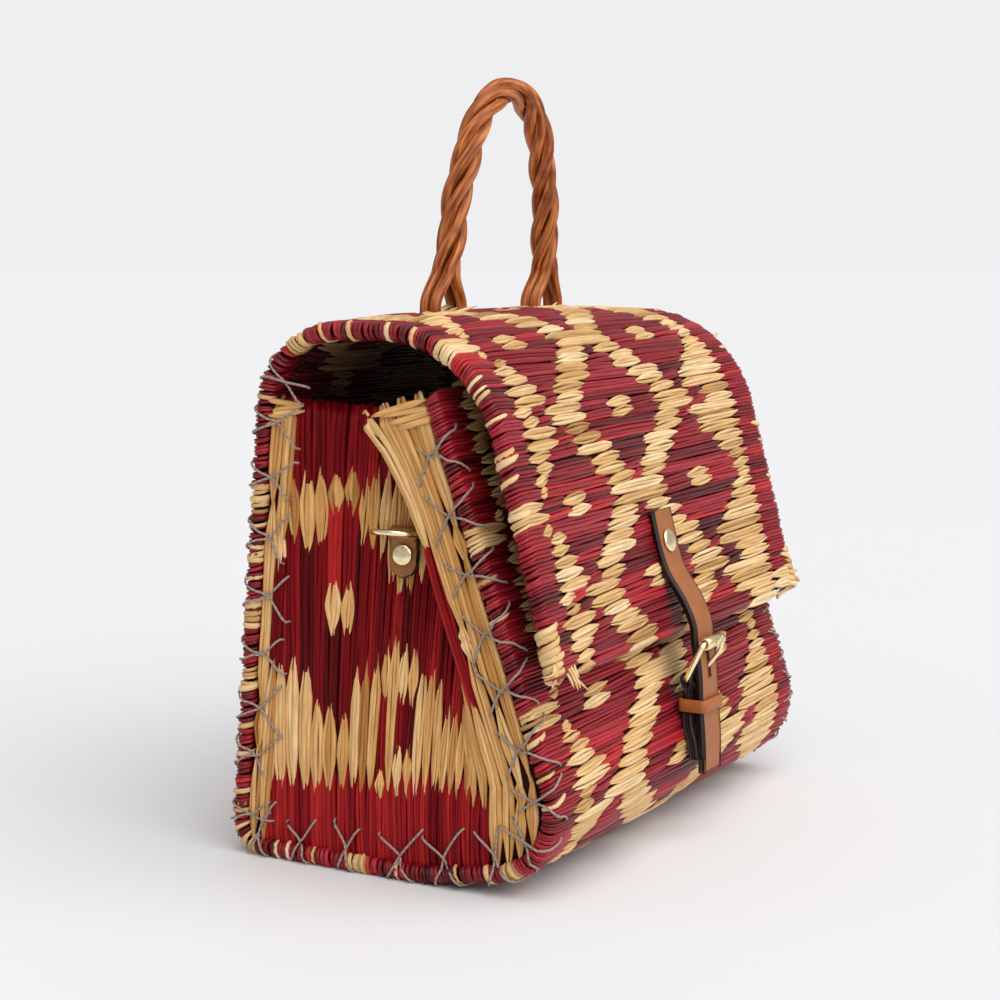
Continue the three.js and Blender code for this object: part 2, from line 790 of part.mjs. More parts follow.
const chapeNormal = vec(0, -1, 0);
const chapeFaceY = CHAPE_RUN[2].y - CHAPE.thickness / 2 - GAP;
const chapeRivetPoint = vec(0, chapeFaceY, CHAPE.rivetZ);
const wallInsideY = frontFaceY(CHAPE.rivetZ + RIVET.washerRadius) + BODY.wall / Math.sin(frontSlope);
const chapeGrip = wallInsideY - chapeFaceY + GAP;

function buckleChape() {
  const plate = alongX(bandShape(smoothLine(CHAPE_RUN, 14), CHAPE.thickness), CHAPE.width);
  const bore = BUCKLE.wire + GAP;
  const fold = pipe(BUCKLE.hingeY, BUCKLE.hingeZ, bore, bore + CHAPE.leather, CHAPE.width, 20);
  const slot = new THREE.BoxGeometry(CHAPE.slotWidth, 16, 10);
  slot.translate(0, BUCKLE.hingeY, BUCKLE.hingeZ - BUCKLE.eyeRadius - GAP + 5);
  return cut(joined(plate, fold), [slot, rivetHole(chapeRivetPoint, chapeNormal, chapeGrip)]);
}

function strapKeeper() {
  const wide = KEEPER.halfWidth;
  const box = (grow) => {
    const shape = new THREE.Path();
    const low = KEEPER.frontY - grow;
    const high = KEEPER.backY + grow;
    shape.moveTo(-wide - grow, low);
    shape.lineTo(wide + grow, low);
    shape.lineTo(wide + grow, high);
    shape.lineTo(-wide - grow, high);
    shape.closePath();
    return shape.getPoints();
  };
  const loop = new THREE.Shape(box(KEEPER.thickness));
  loop.holes.push(new THREE.Path(box(0)));
  const band = new THREE.ExtrudeGeometry(loop, { depth: KEEPER.height, bevelEnabled: false });
  return welded(band.translate(0, 0, KEEPER.z - KEEPER.height / 2));
}

// Ring tab on an end panel: local x runs along the ring's bar, -y out of the panel and +z up the tab

function tabFrame() {
  const here = panelFace(TAB.y, TAB.z);
  const up = panelFace(TAB.y, TAB.z + 1).sub(panelFace(TAB.y, TAB.z - TAB.length)).normalize();
  const along = panelFace(TAB.y - 1, TAB.z).sub(panelFace(TAB.y + 1, TAB.z)).normalize();
  const inward = vec().crossVectors(up, along).normalize();
  along.crossVectors(inward, up);
  return new THREE.Matrix4().makeBasis(along, inward, up).setPosition(here);
}

const TAB_FRAME = tabFrame();
const TAB_OUT = TAB_FRAME.clone().invert();

// How far the panel stands out through the tab's back plane.
function tabRise() {
  let rise = 0;
  for (const side of [-0.5, 0, 0.5]) {
    for (const down of [-0.15, 0.25, 0.5, 0.75, 1]) {
      const face = panelFace(TAB.y + side * TAB.width, TAB.z - down * TAB.length);
      rise = Math.max(rise, -face.applyMatrix4(TAB_OUT).y);
    }
  }
  return rise;
}

const tabBackY = -tabRise() - GAP;
const tabBore = RING.wire + GAP;
const tabEyeY = tabBackY - tabBore - TAB.leather;
const tabFrontY = tabBackY - TAB.thickness;
const tabGrip = PANEL.thickness + TAB.thickness + 5 * GAP;

function onTab(geometry) {
  return welded(geometry.applyMatrix4(TAB_FRAME));
}

function tabRivetPlace() {
  return { point: vec(0, tabFrontY - GAP, -TAB.rivetDrop), axis: vec(0, -1, 0) };
}

function tabRivetHole() {
  const { point, axis } = tabRivetPlace();
  return rivetHole(point, axis, tabGrip);
}

function ringTab() {
  const half = TAB.width / 2;
  const outline = new THREE.Shape();
  outline.moveTo(half, -tabBore - 0.6);
  outline.lineTo(-half, -tabBore - 0.6);
  outline.lineTo(-half, half - TAB.length);
  outline.absarc(0, half - TAB.length, half, Math.PI, 2 * Math.PI, false);
  outline.closePath();
  const options = { depth: TAB.thickness, bevelEnabled: false, curveSegments: 8 };
  const plate = new THREE.ExtrudeGeometry(outline, options);
  plate.rotateX(Math.PI / 2).translate(0, tabBackY, 0);
  const fold = pipe(tabEyeY, 0, tabBore, tabBore + TAB.leather, TAB.width, 20);
  return onTab(cut(joined(plate, fold), [tabRivetHole()]));
}

function tabRivet() {
  const { point, axis } = tabRivetPlace();
  return onTab(rivet(point, axis, tabGrip, { capRadius: TAB.capRadius, capHeight: TAB.capHeight }));
}

function sideRing() {
  const barEnd = RING.halfWidth - 1.2;
  const points = [vec(-barEnd - RING.slide, tabEyeY, 0), vec(barEnd - RING.slide, tabEyeY, 0)];
  for (let i = 0; i <= RING.bowSegments; i += 1) {
    const turn = lerp(rad(8), rad(172), i / RING.bowSegments);
    const side = RING.halfWidth * Math.cos(turn) - RING.slide;
    points.push(vec(side, tabEyeY - RING.reach * Math.sin(turn), 0));
  }
  return onTab(wireLoop(points, vec(0, 0, 1), RING.wire, RING.sides));
}

// The bar of a ring, about which it swings.
const RING_BAR = {
  point: vec(0, tabEyeY, 0).applyMatrix4(TAB_FRAME),
  axis: vec(1, 0, 0).transformDirection(TAB_FRAME),
};

// Assembly

const satchel = new THREE.Group();
satchel.name = "reed_satchel";

function add(name, geometry, colour) {
  const mesh = new THREE.Mesh(geometry, new THREE.MeshStandardMaterial(COLOURS[colour]));
  mesh.name = name;
  satchel.add(mesh);
}

const wrapHoles = [
  ...legHoles(),
  rivetHole(flapRivetPoint, flapNormal, flapGrip),
  rivetHole(chapeRivetPoint, chapeNormal, chapeGrip),
];
add("reed_wrap", cut(reedWrap(), wrapHoles), "reed");

const panel = cut(endPanel(), [tabRivetHole().applyMatrix4(TAB_FRAME)]);
const ends = { left: (piece) => piece, right: mirroredInX };
for (const [side, place] of Object.entries(ends)) {
  add(`end_panel_${side}`, place(panel.clone()), "reedEnd");
  add(`ring_tab_${side}`, place(ringTab()), "leather");
  add(`tab_rivet_${side}`, place(tabRivet()), "brass");
  add(`side_ring_${side}`, place(sideRing()), "brass");
}

for (let number = 0; number < HANDLE.rods; number += 1) {
  add(`handle_rod_${number + 1}`, handleRod(number), "willow");
}

add("flap_strap", flapStrap(), "leather");
add("flap_rivet", rivet(flapRivetPoint, flapNormal, flapGrip, FLAP_RIVET), "brass");
add("buckle_frame", buckleFrame(), "brass");
add("buckle_roller", buckleRoller(), "brass");
add("buckle_prong", buckleProng(), "brass");
add("buckle_chape", buckleChape(), "leather");
add("chape_rivet", rivet(chapeRivetPoint, chapeNormal, chapeGrip, CHAPE_RIVET), "brass");
add("strap_keeper", strapKeeper(), "leather");

export { RING_BAR };

export default satchel;
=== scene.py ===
"""Dresses the reed satchel: woven mat, folded end panels, willow handle, leather and brass fittings.

Sizes repeat the solids' driving dimensions in millimetres, in the frame's axes: +X along the length,
front towards -Y, +Z up. Meshes are written in metres.
"""

import logging
import math
from dataclasses import dataclass, field, replace
from enum import Enum
from functools import partial
from typing import Callable, Protocol, Sequence

import bmesh
import bpy
import numpy as np
from mathutils import Matrix, Vector


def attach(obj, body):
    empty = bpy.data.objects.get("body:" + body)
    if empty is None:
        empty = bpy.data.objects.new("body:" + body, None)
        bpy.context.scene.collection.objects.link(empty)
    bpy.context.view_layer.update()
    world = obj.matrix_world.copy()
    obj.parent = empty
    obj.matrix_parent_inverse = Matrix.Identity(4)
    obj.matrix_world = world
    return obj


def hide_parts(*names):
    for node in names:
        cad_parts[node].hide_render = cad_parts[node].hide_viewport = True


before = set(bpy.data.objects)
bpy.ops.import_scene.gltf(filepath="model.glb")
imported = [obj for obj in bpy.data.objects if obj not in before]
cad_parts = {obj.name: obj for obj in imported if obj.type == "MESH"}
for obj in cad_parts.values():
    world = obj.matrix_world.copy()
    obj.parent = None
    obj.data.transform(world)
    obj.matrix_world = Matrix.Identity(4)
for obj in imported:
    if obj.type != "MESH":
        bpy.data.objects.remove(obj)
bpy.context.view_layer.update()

LOG = logging.getLogger("reed_satchel")
MM = 0.001
SEED = 1871

Array = np.ndarray
Point = tuple[float, float]
Colour = tuple[float, float, float]
Ramp = Sequence[tuple[float, Colour]]
Piece = bpy.types.Object
Finish = bpy.types.Material
Socket = bpy.types.NodeSocket
Solid = bmesh.types.BMesh
Rng = np.random.Generator


class Body(Enum):
    """The moving bodies that pieces ride on."""

    BAG = "bag"
    RING_LEFT = "ring_left"
    RING_RIGHT = "ring_right"


class Slot(Enum):
    """The record's material slots."""

    REED_RED = "reed_red"
    REED_NATURAL = "reed_natural"
    WILLOW = "willow"
    LEATHER = "leather"
    BRASS = "brass"


class End(Enum):
    """The two ends of the satchel, by the sign of x."""

    LEFT = -1
    RIGHT = 1

    @property
    def word(self) -> str:
        """The end's name as used in node names."""
        return self.name.lower()


class Dye(Enum):
    """A reed's colour, as written to the dye attribute."""

    NATURAL = 0.0
    RED = 1.0


class RowKind(Enum):
    """The four kinds of row that make up the diamond pattern."""

    SIDE_NARROW = "side diamonds, narrow"
    SIDE_WIDE = "side diamonds, wide, with their eyes"
    MID_NARROW = "middle diamond, narrow"
    MID_WIDE = "middle diamond, wide, with its eye"


class Layer(Enum):
    """The layers of reed on an end panel, as used in the names of its pieces."""

    MAIN = "main"
    RETURN = "return"
    BACK = "back"
    BORDER = "border"


N, R = Dye.NATURAL, Dye.RED

# Each kind of row from the left end to the right: (share of the length where a float ends, its colour).
ROW_CHART: dict[RowKind, tuple[tuple[float, Dye], ...]] = {
    RowKind.SIDE_NARROW: (
        (0.085, R), (0.125, N), (0.310, R), (0.425, N), (0.495, R), (0.605, N), (0.815, R), (0.920, N),
        (1.0, R),
    ),
    RowKind.SIDE_WIDE: (
        (0.082, N), (0.168, R), (0.252, N), (0.355, R), (0.565, N), (0.668, R), (0.752, N), (0.860, R),
        (0.915, N), (1.0, R),
    ),
    RowKind.MID_NARROW: (
        (0.075, R), (0.180, N), (0.240, R), (0.355, N), (0.565, R), (0.680, N), (0.740, R), (0.920, N),
        (1.0, R),
    ),
    RowKind.MID_WIDE: (
        (0.075, R), (0.128, N), (0.178, R), (0.315, N), (0.418, R), (0.502, N), (0.605, R), (0.745, N),
        (0.797, R), (0.920, N), (1.0, R),
    ),
}

# One repeat of the pattern, counted from the flap's tip and from the front rim alike.
ROW_CYCLE: tuple[RowKind, ...] = (
    RowKind.SIDE_NARROW,
    RowKind.MID_NARROW, RowKind.MID_NARROW, RowKind.MID_NARROW,
    RowKind.MID_WIDE, RowKind.MID_WIDE,
    RowKind.MID_NARROW, RowKind.MID_NARROW, RowKind.MID_NARROW,
    RowKind.SIDE_NARROW, RowKind.SIDE_NARROW, RowKind.SIDE_NARROW,
    RowKind.SIDE_WIDE, RowKind.SIDE_WIDE,
    RowKind.SIDE_NARROW, RowKind.SIDE_NARROW,
)

# How far the (middle, side) red floats of each row of the repeat grow at both ends, as shares of the length.
ROW_GROWTH: tuple[Point, ...] = (
    (0.018, -0.020),
    (-0.035, 0.020), (0.0, 0.0), (0.025, -0.010),
    (0.0, 0.0), (0.0, 0.0),
    (0.025, -0.010), (0.0, 0.0), (-0.035, 0.020),
    (0.018, -0.020), (0.0, 0.0), (-0.020, 0.030),
    (0.0, 0.0), (0.0, 0.0),
    (-0.020, 0.030), (0.0, 0.0),
)


def row_chart(number: int) -> tuple[tuple[float, Dye], ...]:
    """The chart of a row, by its number in the pattern."""
    return ROW_CHART[ROW_CYCLE[number % len(ROW_CYCLE)]]


@dataclass(frozen=True)
class PanelColumn:
    """One upright bundle of the end panel: red between its lower and upper natural floats."""

    y: float
    lower: float
    upper: float
    eye: Point | None = None
    dash: Point | None = None


# The end panel's columns from its back border to its front one. An eye is a natural float in the red,
# a dash a red float in the lower natural one, both as (low, high) heights.
PANEL_CHART: tuple[PanelColumn, ...] = (
    PanelColumn(67.8, 92, 104),
    PanelColumn(61.4, 92, 126),
    PanelColumn(54.8, 92, 150),
    PanelColumn(47.8, 91, 141),
    PanelColumn(41.6, 77, 145),
    PanelColumn(35.0, 74, 162, eye=(106, 131)),
    PanelColumn(27.4, 73, 164, eye=(107, 131)),
    PanelColumn(21.8, 91, 147),
    PanelColumn(17.4, 94, 142),
    PanelColumn(12.2, 95, 142),
    PanelColumn(7.4, 103, 130, dash=(46, 79)),
    PanelColumn(3.0, 108, 124),
    PanelColumn(-1.4, 106, 126, dash=(61, 78)),
    PanelColumn(-6.4, 104, 131, dash=(59, 77)),
    PanelColumn(-11.2, 96, 140),
    PanelColumn(-15.7, 95, 148),
    PanelColumn(-20.2, 92, 158),
    PanelColumn(-24.6, 78, 166),
    PanelColumn(-28.6, 77, 168),
    PanelColumn(-32.6, 77, 166),
    PanelColumn(-37.0, 80, 152),
    PanelColumn(-41.6, 90, 142),
    PanelColumn(-46.4, 94, 125),
)


class Surface(Protocol):
    """Something that strands are laid on."""

    def place(self, along: Array, across: Array, height: Array) -> Array:
        """Places points given along a strand, across it and above the surface.

        Args:
            along: Distance along the strands, in millimetres.
            across: Distance across them.
            height: Height above the surface.

        Returns:
            The points, with x, y and z in the last axis, in millimetres.
        """


# Shapes that the pieces share


def smooth_step(value: Array, low: float, high: float) -> Array:
    """Rises smoothly from 0 at low to 1 at high."""
    share = np.clip((np.asarray(value, float) - low) / (high - low), 0.0, 1.0)
    return share * share * (3.0 - 2.0 * share)


def catmull_rom(points: Sequence[Sequence[float]], steps: int) -> Array:
    """Draws a smooth line through points.

    Args:
        points: The points, each with two or three numbers.
        steps: How many equal steps the line has, spread evenly over the stretches.

    Returns:
        The line's points, one more than steps.
    """
    knots = np.array(points, float)
    last = len(knots) - 1
    at = np.linspace(0.0, last, steps + 1)
    index = np.minimum(at.astype(int), last - 1)
    share = (at - index)[:, None]
    p0, p1 = knots[np.maximum(index - 1, 0)], knots[index]
    p2, p3 = knots[index + 1], knots[np.minimum(index + 2, last)]
    v0, v1 = (p2 - p0) / 2, (p3 - p1) / 2
    cubic = (2 * p1 - 2 * p2 + v0 + v1) * share**3
    square = (-3 * p1 + 3 * p2 - 2 * v0 - v1) * share**2
    return cubic + square + v0 * share + p1


def unit(vectors: Array) -> Array:
    """Scales vectors, which lie in the last axis, to a length of 1."""
    return vectors / np.linalg.norm(vectors, axis=-1, keepdims=True)


def distances(line: Array) -> Array:
    """How far along a line each of its points lies."""
    return np.r_[0.0, np.cumsum(np.linalg.norm(np.diff(line, axis=0), axis=1))]


def placing(first: Array, second: Array, third: Array, point: Array) -> Matrix:
    """A place with three axes and an origin."""
    return Matrix(np.vstack([np.c_[first, second, third, point], (0, 0, 0, 1)]).tolist())


def even_steps(line: Array, count: int) -> Array:
    """Spreads points evenly by distance along a line.

    Args:
        line: The line's points.
        count: How many points to return.

    Returns:
        That many points, the first and last being the line's own.
    """
    gone = distances(line)
    at = np.linspace(0.0, gone[-1], count)
    return np.stack([np.interp(at, gone, line[:, k]) for k in range(line.shape[1])], axis=1)


@dataclass(frozen=True)
class MatShape:
    """The long mat that is front wall, base, back, top and flap in one.

    s runs along the mat's outer face from the front rim (0) round to the flap's tip, x along the length.
    """

    length: float = 272.0
    wall: float = 8.0
    height: float = 247.0
    front_toe_y: float = -100.0
    back_heel_y: float = 89.0
    front_rim_y: float = -24.0
    front_rim_z: float = 219.0
    front_corner_radius: float = 36.0
    front_lift: float = 5.5
    flat_front_y: float = -16.0
    back_corner_radius: float = 16.0
    back_lean_deg: float = 4.9
    shoulder_radius: float = 44.0
    arch_radius: float = 65.0
    arch_y: float = 3.7
    flap_lean_deg: float = 15.0
    flap_length: float = 100.0
    swell_flap: float = -7.0
    swell_top: float = 3.0
    swell_front: float = 2.0
    swell_back: float = 3.0
    step: float = 2.0
    corner_run: float = 20.0
    table: dict[str, Array] = field(init=False, repr=False, default_factory=dict)
    marks: dict[str, float] = field(init=False, repr=False, default_factory=dict)

    def __post_init__(self) -> None:
        """Works out the profile once: places, normals and shares of the swellings by s."""
        rows: list[tuple[float, ...]] = []
        starts: dict[str, int] = {}
        for name, points, turns, swell in self._stretches():
            starts[name] = len(rows)
            shares = np.linspace(0.0, 1.0, len(points))
            for (y, z), turn, share in zip(points[:-1], turns[:-1], shares[:-1]):
                rows.append((y, z, math.cos(turn), math.sin(turn), *swell(share)))
        rows.append((*points[-1], math.cos(turns[-1]), math.sin(turns[-1]), *swell(1.0)))
        data = np.array(rows)
        s = np.r_[0.0, np.cumsum(np.hypot(*np.diff(data[:, :2], axis=0).T))]
        names = ("y", "z", "ny", "nz", "flap", "top", "front", "back")
        self.table.update({"s": s, **{name: data[:, k] for k, name in enumerate(names)}})
        self.marks.update({name: float(s[index]) for name, index in starts.items()})
        self.marks["tip"] = float(s[-1])

    @property
    def half(self) -> float:
        """Half the length."""
        return self.length / 2

    @property
    def skin(self) -> float:
        """Half the wall, from its middle to a face."""
        return self.wall / 2

    @property
    def front_slope(self) -> float:
        """The front wall's rise above the floor, in radians."""
        return math.atan2(self.front_rim_z, self.front_rim_y - self.front_toe_y)

    @property
    def back_lean(self) -> float:
        """The back wall's lean from upright, in radians."""
        return math.radians(self.back_lean_deg)

    @property
    def arch_centre(self) -> Point:
        """The centre of the wide round over the flap, as (y, z)."""
        return self.arch_y, self.height - self.arch_radius

    @property
    def shoulder_centre(self) -> Point:
        """The centre of the round back shoulder, as (y, z)."""
        z = self.height - self.shoulder_radius
        y = self.back_heel_y - z * math.tan(self.back_lean)
        return y - self.shoulder_radius / math.cos(self.back_lean), z

    @property
    def front_corner(self) -> Point:
        """The centre of the round front lower corner, as (y, z)."""
        y = self.front_toe_y + self.front_corner_radius / math.tan(self.front_slope / 2)
        return y + self.front_lift / math.tan(self.front_slope), self.front_corner_radius + self.front_lift

    @property
    def back_corner(self) -> Point:
        """The centre of the round back lower corner, as (y, z)."""
        angle = math.pi / 2 - self.back_lean
        return self.back_heel_y - self.back_corner_radius / math.tan(angle / 2), self.back_corner_radius

    @property
    def base_climb(self) -> float:
        """How steeply the base climbs to the raised front corner, in radians."""
        y, z = self.front_corner
        run = self.flat_front_y - y
        return math.atan2(z, run) - math.asin(self.front_corner_radius / math.hypot(run, z))

    def _arc(self, centre: Point, radius: float, start: float, end: float) -> tuple[Array, Array]:
        """Points and normals of a round stretch.

        Args:
            centre: The arc's centre as (y, z).
            radius: Its radius.
            start: The normal's angle where it starts.
            end: The normal's angle where it ends.

        Returns:
            The points and the normals' angles.
        """
        turns = np.linspace(start, end, max(int(radius * abs(end - start) / self.step), 6) + 1)
        return np.stack([centre[0] + radius * np.cos(turns), centre[1] + radius * np.sin(turns)], 1), turns

    def _line(self, start: Array, end: Array, turn: float) -> tuple[Array, Array]:
        """Points and normals of a straight stretch, as for an arc."""
        count = max(int(np.hypot(*(end - start)) / self.step), 4) + 1
        return np.linspace(start, end, count), np.full(count, turn)

    def _stretches(self) -> list[tuple[str, Array, Array, Callable[[float], tuple[float, ...]]]]:
        """The profile's stretches in order: name, points, normals and the swellings' shares."""
        front_turn = self.front_slope + math.pi / 2
        floor_turn = 1.5 * math.pi
        climb_turn = floor_turn - self.base_climb
        back_turn = 2 * math.pi + self.back_lean
        flap_turn = 3 * math.pi - math.radians(self.flap_lean_deg)
        corner = self._arc(self.front_corner, self.front_corner_radius, front_turn, climb_turn)
        heel = self._arc(self.back_corner, self.back_corner_radius, floor_turn, back_turn)
        top_turn = 2.5 * math.pi
        shoulder = self._arc(self.shoulder_centre, self.shoulder_radius, back_turn, top_turn)
        arch = self._arc(self.arch_centre, self.arch_radius, top_turn, flap_turn)
        flat = np.array([self.flat_front_y, 0.0])
        lean = math.radians(self.flap_lean_deg)
        hang = np.array([math.sin(lean), math.cos(lean)])
        rim = np.array([self.front_rim_y, self.front_rim_z])
        tip = arch[0][-1] - self.flap_length * hang
        step, over = smooth_step, self._over
        return [
            ("front", *self._line(rim, corner[0][0], front_turn), lambda t: (0, 0, step(t, 0, 0.5), 0)),
            ("corner", *corner, lambda t: (0, 0, 1 - step(t, 0, 0.6), 0)),
            ("climb", *self._line(corner[0][-1], flat, climb_turn), lambda t: (0, 0, 0, 0)),
            ("base", *self._line(flat, heel[0][0], floor_turn), lambda t: (0, 0, 0, 0)),
            ("heel", *heel, lambda t: (0, 0, 0, 0.3 * step(t, 0.5, 1))),
            ("back", *self._line(heel[0][-1], shoulder[0][0], back_turn),
             lambda t: (0, 0, 0, 0.3 + 0.7 * math.sin(math.pi * t))),
            ("top", *shoulder, lambda t: over(0.37 * t)),
            ("crown", *self._line(shoulder[0][-1], arch[0][0], top_turn), lambda t: over(0.37 + 0.14 * t)),
            ("arch", *arch, lambda t: over(0.51 + 0.49 * t)),
            ("flap", *self._line(arch[0][-1], tip, flap_turn), lambda t: (0.75 + 0.25 * t, 0, 0, 0)),
        ]

    @staticmethod
    def _over(share: float) -> tuple[float, ...]:
        """Shares of the swellings over the top, from the back (0) to the flap (1)."""
        top = math.sin(math.pi * min(share / 0.9, 1.0))
        return 0.75 * smooth_step(share, 0.45, 1.0), top, 0.0, 0.3 * (1.0 - smooth_step(share, 0.0, 0.4))

    def top_z(self, y: float) -> float:
        """The top's outer height at a given y, in the middle of the length."""
        (centre_y, centre_z), radius = self.arch_centre, self.arch_radius
        off = min(y - centre_y, 0.0)
        if y > self.shoulder_centre[0]:
            (centre_y, centre_z), radius = self.shoulder_centre, self.shoulder_radius
            off = y - centre_y
        return centre_z + math.sqrt((radius + self.swell_top) ** 2 - off**2)

    def middle(self, x: Array, s: Array) -> tuple[Array, Array, Array, Array]:
        """The middle of the wall.

        Args:
            x: Places along the length.
            s: Places along the mat, held to its two ends.

        Returns:
            y and z of the wall's middle, and the y and z parts of the outward normal.
        """
        table = self.table
        at = np.clip(s, 0.0, self.marks["tip"])
        values = {name: np.interp(at, table["s"], column) for name, column in table.items() if name != "s"}
        size = np.hypot(values["ny"], values["nz"])
        ny, nz = values["ny"] / size, values["nz"] / size
        swell = self.swell_flap * values["flap"] + self.swell_top * values["top"]
        swell = swell + self.swell_front * values["front"] + self.swell_back * values["back"]
        off = swell * (1.0 - (np.clip(x, -self.half, self.half) / self.half) ** 2) - self.skin
        return values["y"] + ny * off, values["z"] + nz * off, ny, nz

    def face(self, x: Array, s: Array, height: Array, side: float = 1.0) -> Array:
        """A point above the outer face (side 1) or the inner face (side -1). Past the ends s turns the lip.

        Args:
            x: Places along the length.
            s: Places along the mat. Beyond its ends they run round the rounded lip.
            height: Height above the face.
            side: 1 for the outer face, -1 for the inner one.

        Returns:
            The points in millimetres.
        """
        y, z, ny, nz = self.middle(x, s)
        turn = (s - np.clip(s, 0.0, self.marks["tip"])) / self.skin
        reach = self.skin + height
        cos, sin = side * np.cos(turn), np.sin(turn)
        return np.stack(np.broadcast_arrays(
            x, y + reach * (ny * cos - nz * sin), z + reach * (nz * cos + ny * sin)), axis=-1)

    def _y_at(self, z: float, s: Array) -> float:
        """The outer y at a height in the middle of the length, on a stretch that falls with s."""
        points = self.face(np.zeros_like(s), s, np.zeros_like(s))
        return float(np.interp(-z, -points[:, 2], points[:, 1]))

    def outer_y(self, z: float) -> float:
        """The flap's outer y at a height, in the middle of the length."""
        return self._y_at(z, np.linspace(self.marks["flap"], self.marks["tip"], 60))

    def front_y(self, z: float) -> float:
        """The front wall's outer y at a height, in the middle of the length."""
        return self._y_at(z, np.linspace(self.marks["front"], self.marks["corner"] + self.corner_run, 120))


@dataclass(frozen=True)
class MatFace:
    """One face of the mat, with strands along x."""

    mat: MatShape
    side: float = 1.0

    def place(self, along: Array, across: Array, height: Array) -> Array:
        """Places points on the face: along is x, across is s."""
        return self.mat.face(along, across, height, self.side)


@dataclass(frozen=True)
class MatRim:
    """The mat's rounded end, where strands turn from the outer face round to the inner one.

    Along runs from the outer face (negative) round the bend (0 to half a turn) and on along the inner face.
    """

    mat: MatShape
    end: End
    plump: float = 0.9

    def place(self, along: Array, across: Array, height: Array) -> Array:
        """Places points round the end: across is s."""
        skin, end = self.mat.skin, self.end.value
        bend = math.pi * skin
        straight = np.minimum(along, 0.0) - np.maximum(along - bend, 0.0)
        turn = np.clip(along, 0.0, bend) / skin
        x = end * (self.mat.half - skin + straight)
        y, z, ny, nz = self.mat.middle(x, across)
        reach = skin + height + self.plump * np.sin(turn)
        lip = (across - np.clip(across, 0.0, self.mat.marks["tip"]))
        out = reach * np.cos(turn)
        return np.stack(np.broadcast_arrays(
            x + end * reach * np.sin(turn), y + ny * out - nz * lip, z + nz * out + ny * lip), axis=-1)


